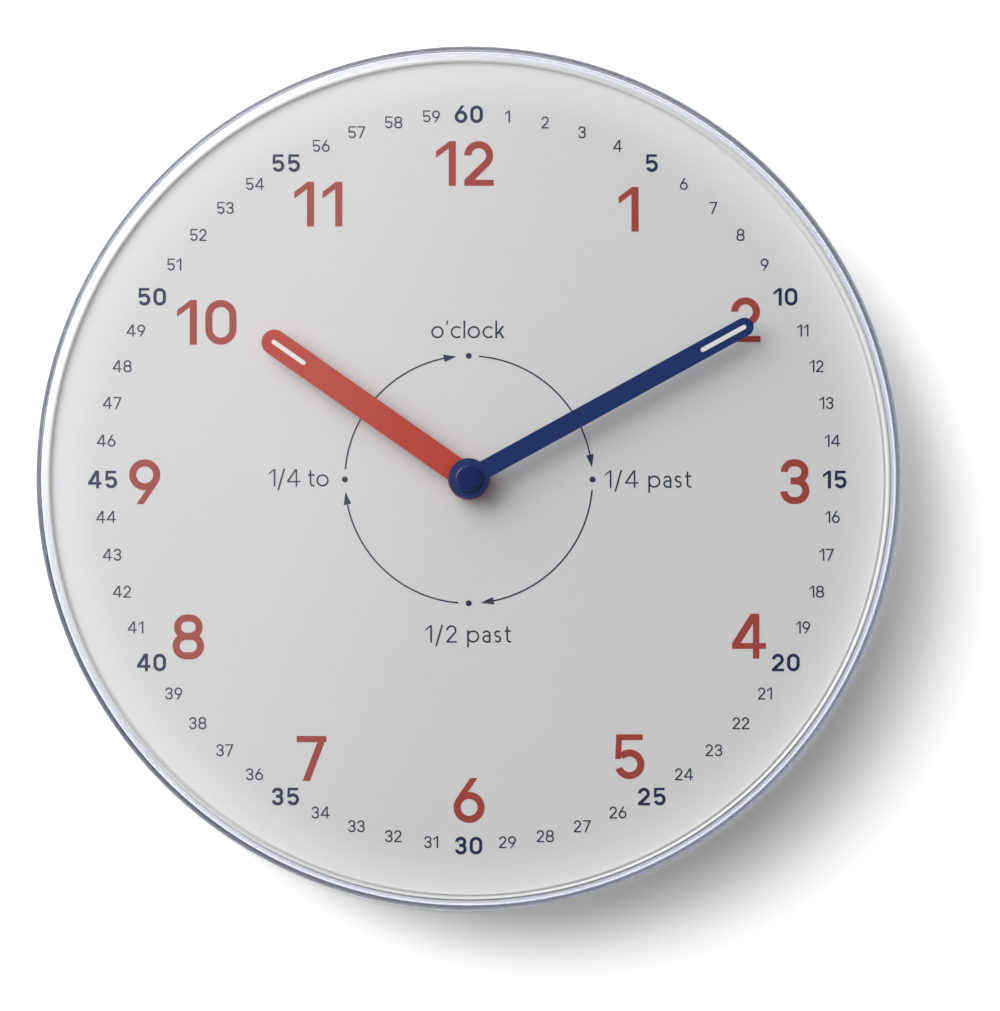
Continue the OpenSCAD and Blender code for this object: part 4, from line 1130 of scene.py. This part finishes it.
# %% Bosses over the pivots
lid_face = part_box("movement_lid")[1][1]
boss_rise = 0.4 * MM
boss_root = 0.1 * MM
boss_edge = 0.12 * MM
dimple_depth = 0.25 * MM
dimple_inset = 0.6
pivot_radius = 1.5 * MM
centre_radius = 2.6 * MM
pivot_joints = ("third_wheel_turn", "fourth_wheel_turn", "fifth_wheel_turn", "rotor_turn")
places = {joint["name"]: joint.get("pos_m") for joint in frame["joints"]}


def pivot_boss(x, z, radius):
    """Round boss with a rounded edge and a dimple, on the rear face of the lid."""
    deselect()
    bpy.ops.mesh.primitive_cylinder_add(
        vertices=40, radius=radius, depth=boss_rise + boss_root, rotation=quarter_turn,
        location=(x, lid_face + (boss_rise - boss_root) / 2, z),
    )
    boss = bpy.context.object
    bpy.ops.object.transform_apply(location=True, rotation=True)
    bpy.ops.object.mode_set(mode="EDIT")
    bpy.ops.mesh.select_all(action="DESELECT")
    bpy.ops.object.mode_set(mode="OBJECT")
    for face in boss.data.polygons:
        face.select = face.normal.y > 0.9
    bpy.ops.object.mode_set(mode="EDIT")
    bpy.ops.mesh.inset(thickness=dimple_inset * radius)
    bpy.ops.mesh.extrude_region_move(TRANSFORM_OT_translate={"value": (0, -dimple_depth, 0)})
    bpy.ops.object.mode_set(mode="OBJECT")
    soft = boss.modifiers.new("soft_edge", "BEVEL")
    soft.width = boss_edge
    soft.segments = 2
    bpy.ops.object.modifier_apply(modifier=soft.name)
    return boss


bosses = [pivot_boss(places[name][0], places[name][2], pivot_radius) for name in pivot_joints]
bosses.append(pivot_boss(0, 0, centre_radius))
print("bosses", len(bosses))

# %% Marks beside the cell and around the knob
mark_rise = 0.35 * MM
mark_root = 0.05 * MM
mark_size = 2.6
mark_pen = 0.55
plus_place = (19.6, -10.7)
minus_place = (-22.0, -10.7)
arrow_radius = 7.4
arrow_start, arrow_sweep = math.radians(-75), math.radians(165)
arrow_length, arrow_width = 2.0, 1.9
knob_place = places["setting_knob_turn"]


def bar(x, z, width, height):
    return pen_stroke((x - width / 2, z - height / 2), (x - width / 2, z + height / 2), [line(width, 0)])


plus = united([bar(*plus_place, mark_size, mark_pen), bar(*plus_place, mark_pen, mark_size)], "plus")
minus = bar(*minus_place, mark_size, mark_pen)
turn_arrow = ring_arrow(arrow_radius, arrow_start, arrow_sweep, mark_pen, arrow_length, arrow_width)
turn_arrow.data.transform(Matrix.Translation((knob_place[0] / MM, 0, knob_place[2] / MM)))
marks = [plus, minus, turn_arrow]
flat_scale = Matrix.Diagonal((MM, mark_rise + mark_root, MM, 1))
for mark in marks:
    mark.data.transform(Matrix.Translation((0, lid_face + mark_rise, 0)) @ flat_scale)
lid_relief = join(bosses + marks, "lid_relief")
lid_relief.data.materials.clear()
lid_relief.data.materials.append(pale_relief_plastic)
smooth(lid_relief)
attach(lid_relief, "case")
print("lid_relief", len(lid_relief.data.polygons), "faces")

# %% Put the pen away
for shape, width in drawn.values():
    bpy.data.objects.remove(shape)
print("figures drawn", len(drawn))

# %% [markdown]
# ## Wall, light and camera
# The clock hangs on a plain pale wall. A broad lamp close by at the upper left gives the wide, soft
# shadows, a second one in front keeps them light, and a soft sky fills in the rest. The wall lets
# rays from behind pass, so that the back of the clock can be seen as well, with a lamp of its own.
# It throws no shadow, and no light back on the clock.
# It has a round opening behind the clock, where nobody sees it from the front. Through it the metal
# in the back mirrors the pale sky and not the rear of the wall.

# %% Wall
wall_reach = 1.6
opening = case_radius - 4 * MM
wall_front = wall_plane + 0.1 * MM
deselect()
bpy.ops.mesh.primitive_circle_add(
    vertices=96, radius=opening, location=(0, wall_front, 0), rotation=quarter_turn
)
wall = bpy.context.object
wall.name = "wall"
edit(wall)
bpy.ops.mesh.extrude_region_move()
bpy.ops.transform.resize(value=(wall_reach / opening, 1, wall_reach / opening))
bpy.ops.object.mode_set(mode="OBJECT")
bpy.ops.object.transform_apply(location=True, rotation=True)
if wall.data.polygons[0].normal.y > 0:
    edit(wall)
    bpy.ops.mesh.flip_normals()
    bpy.ops.object.mode_set(mode="OBJECT")
wall.visible_shadow = False
wall.visible_diffuse = False
print("wall looks along", [round(part) for part in wall.data.polygons[0].normal])

# %% Paint of the wall
wall_tone = (1.65, 1.65, 1.65, 1)
wall_paint, nodes, links = empty_material("wall_paint")
shader = nodes["Principled BSDF"]
shader.inputs["Base Color"].default_value = wall_tone
shader.inputs["Roughness"].default_value = 0.9
shader.inputs["Specular IOR Level"].default_value = 0.1
behind = nodes.new("ShaderNodeNewGeometry")
passing = nodes.new("ShaderNodeBsdfTransparent")
choice = nodes.new("ShaderNodeMixShader")
links.new(behind.outputs["Backfacing"], choice.inputs[0])
links.new(shader.outputs[0], choice.inputs[1])
links.new(passing.outputs[0], choice.inputs[2])
links.new(choice.outputs[0], nodes["Material Output"].inputs["Surface"])
wall.data.materials.append(wall_paint)
print("paint", wall_paint.name)

# %% Lamps
def soft_lamp(name, place, size, power):
    data = bpy.data.lights.new(name, "AREA")
    data.shape = "DISK"
    data.size = size
    data.energy = power
    lamp = new_object(name, data)
    lamp.location = place
    lamp.rotation_euler = (-Vector(place)).to_track_quat("-Z", "Y").to_euler()
    print(name, power, "W")


soft_lamp("side_lamp", (-0.576, -0.465, 0.418), size=1.0, power=7.6)
soft_lamp("front_lamp", (-0.756, -1.8, 0.612), size=1.3, power=7)
soft_lamp("back_lamp", (0.7, 1.2, 0.8), size=1.0, power=16)

# %% [markdown]
# The sky gives a soft light that is brighter at the upper left. Mirrors and clear edges see another
# sky, as white as the background, with the changes that a photographer makes with cards. It is dark
# around the camera, or the window would mirror white all over the dial. A dark card at the upper
# right draws the dark line of the clear edge there. A faint glare a few degrees left of the camera
# lies over the left half of the window.

# %% Sky
dim_sky, bright_sky = 0.07, 0.77
bright_corner = Vector((-0.62, -0.5, 0.45)).normalized()
corner_edge, corner_middle = -0.1, 0.95
camera_side, open_side = -0.88, 0.3
camera_dark, card_dark = 0.03, 0.05
card_side = Vector((0.5, 0, 0.87)).normalized()
card_edge, card_middle = 0.6, 0.88
glare_side = Vector((-1, 0, 0.25)).normalized()
glare_edge, glare_full, glare_light = 0.008, 0.045, 0.65
glare_reach, glare_core = -0.985, -0.994
sky = bpy.data.worlds.new("studio_sky")
bpy.context.scene.world = sky
sky.use_nodes = True
nodes, links = sky.node_tree.nodes, sky.node_tree.links
place = nodes.new("ShaderNodeTexCoord")


def towards(direction):
    """How far a ray points in a direction, from -1 to 1."""
    node = nodes.new("ShaderNodeVectorMath")
    node.operation = "DOT_PRODUCT"
    node.inputs[1].default_value = direction
    links.new(place.outputs["Generated"], node.inputs[0])
    return node.outputs["Value"]


def graded(value, start, end, low, high, shape="SMOOTHSTEP"):
    node = nodes.new("ShaderNodeMapRange")
    node.interpolation_type = shape
    for name, setting in zip(("From Min", "From Max", "To Min", "To Max"), (start, end, low, high)):
        node.inputs[name].default_value = setting
    links.new(value, node.inputs["Value"])
    return node.outputs["Result"]


def worked_out(operation, first, second):
    node = nodes.new("ShaderNodeMath")
    node.operation = operation
    links.new(first, node.inputs[0])
    links.new(second, node.inputs[1])
    return node.outputs[0]


print("sky from", dim_sky, "to", bright_sky)

# %% Light of the sky, and what mirrors see
facing = towards((0, 1, 0))
studio = graded(facing, camera_side, open_side, camera_dark, 1)
card = graded(towards(card_side), card_edge, card_middle, 1, card_dark)
glare = graded(towards(glare_side), glare_edge, glare_full, 0, glare_light, "LINEAR")
near_camera = graded(facing, glare_reach, glare_core, 0, 1)
mirrored = worked_out(
    "MAXIMUM", worked_out("MULTIPLY", studio, card), worked_out("MULTIPLY", glare, near_camera)
)
rays = nodes.new("ShaderNodeLightPath")
seen = rays.outputs["Is Camera Ray"]
through = worked_out("MAXIMUM", rays.outputs["Is Glossy Ray"], rays.outputs["Is Transmission Ray"])
soft = nodes["Background"]
white = nodes.new("ShaderNodeBackground")
for light in (soft, white):
    light.inputs["Color"].default_value = (1, 1, 1, 1)
corner_light = graded(towards(bright_corner), corner_edge, corner_middle, dim_sky, bright_sky)
links.new(corner_light, soft.inputs["Strength"])
links.new(worked_out("MAXIMUM", seen, mirrored), white.inputs["Strength"])
choice = nodes.new("ShaderNodeMixShader")
links.new(worked_out("MAXIMUM", seen, through), choice.inputs[0])
links.new(soft.outputs[0], choice.inputs[1])
links.new(white.outputs[0], choice.inputs[2])
links.new(choice.outputs[0], nodes["World Output"].inputs["Surface"])
print("sky nodes", len(nodes))

# %% [markdown]
# The photograph looks straight at the dial from a little below its axis, from far away. Its frame is
# 1000 by 1011 pixels, the case is 866.8 pixels wide, and the centre of the dial is a little left of
# and above the middle of the frame. The lens follows from these numbers.

# %% Camera
frame_width, frame_height = 1000, 1011
case_pixels = 866.8
centre_pixel = (468.5, 479.5)
distance = 3.0
sensor = 36
elevation = math.radians(-2.3)
widest_plane = 15.2 * MM
pixel = 2 * case_radius / case_pixels
data = bpy.data.cameras.new("camera")
data.sensor_width = sensor
data.lens = sensor * case_pixels / frame_height * (distance - widest_plane) / (2 * case_radius)
camera = new_object("camera", data)
bpy.context.scene.camera = camera
back = Vector((0, -math.cos(elevation), math.sin(elevation)))
turn = (-back).to_track_quat("-Z", "Y")
right = (frame_width / 2 - centre_pixel[0]) * pixel
up = (centre_pixel[1] - frame_height / 2) * pixel
aim = turn @ Vector((right, up, 0))
camera.location = Vector((0, dial_face, 0)) + aim + back * distance
camera.rotation_euler = turn.to_euler()
print("lens", round(data.lens), "mm")
bpy.context.scene.view_settings.view_transform = "Standard"
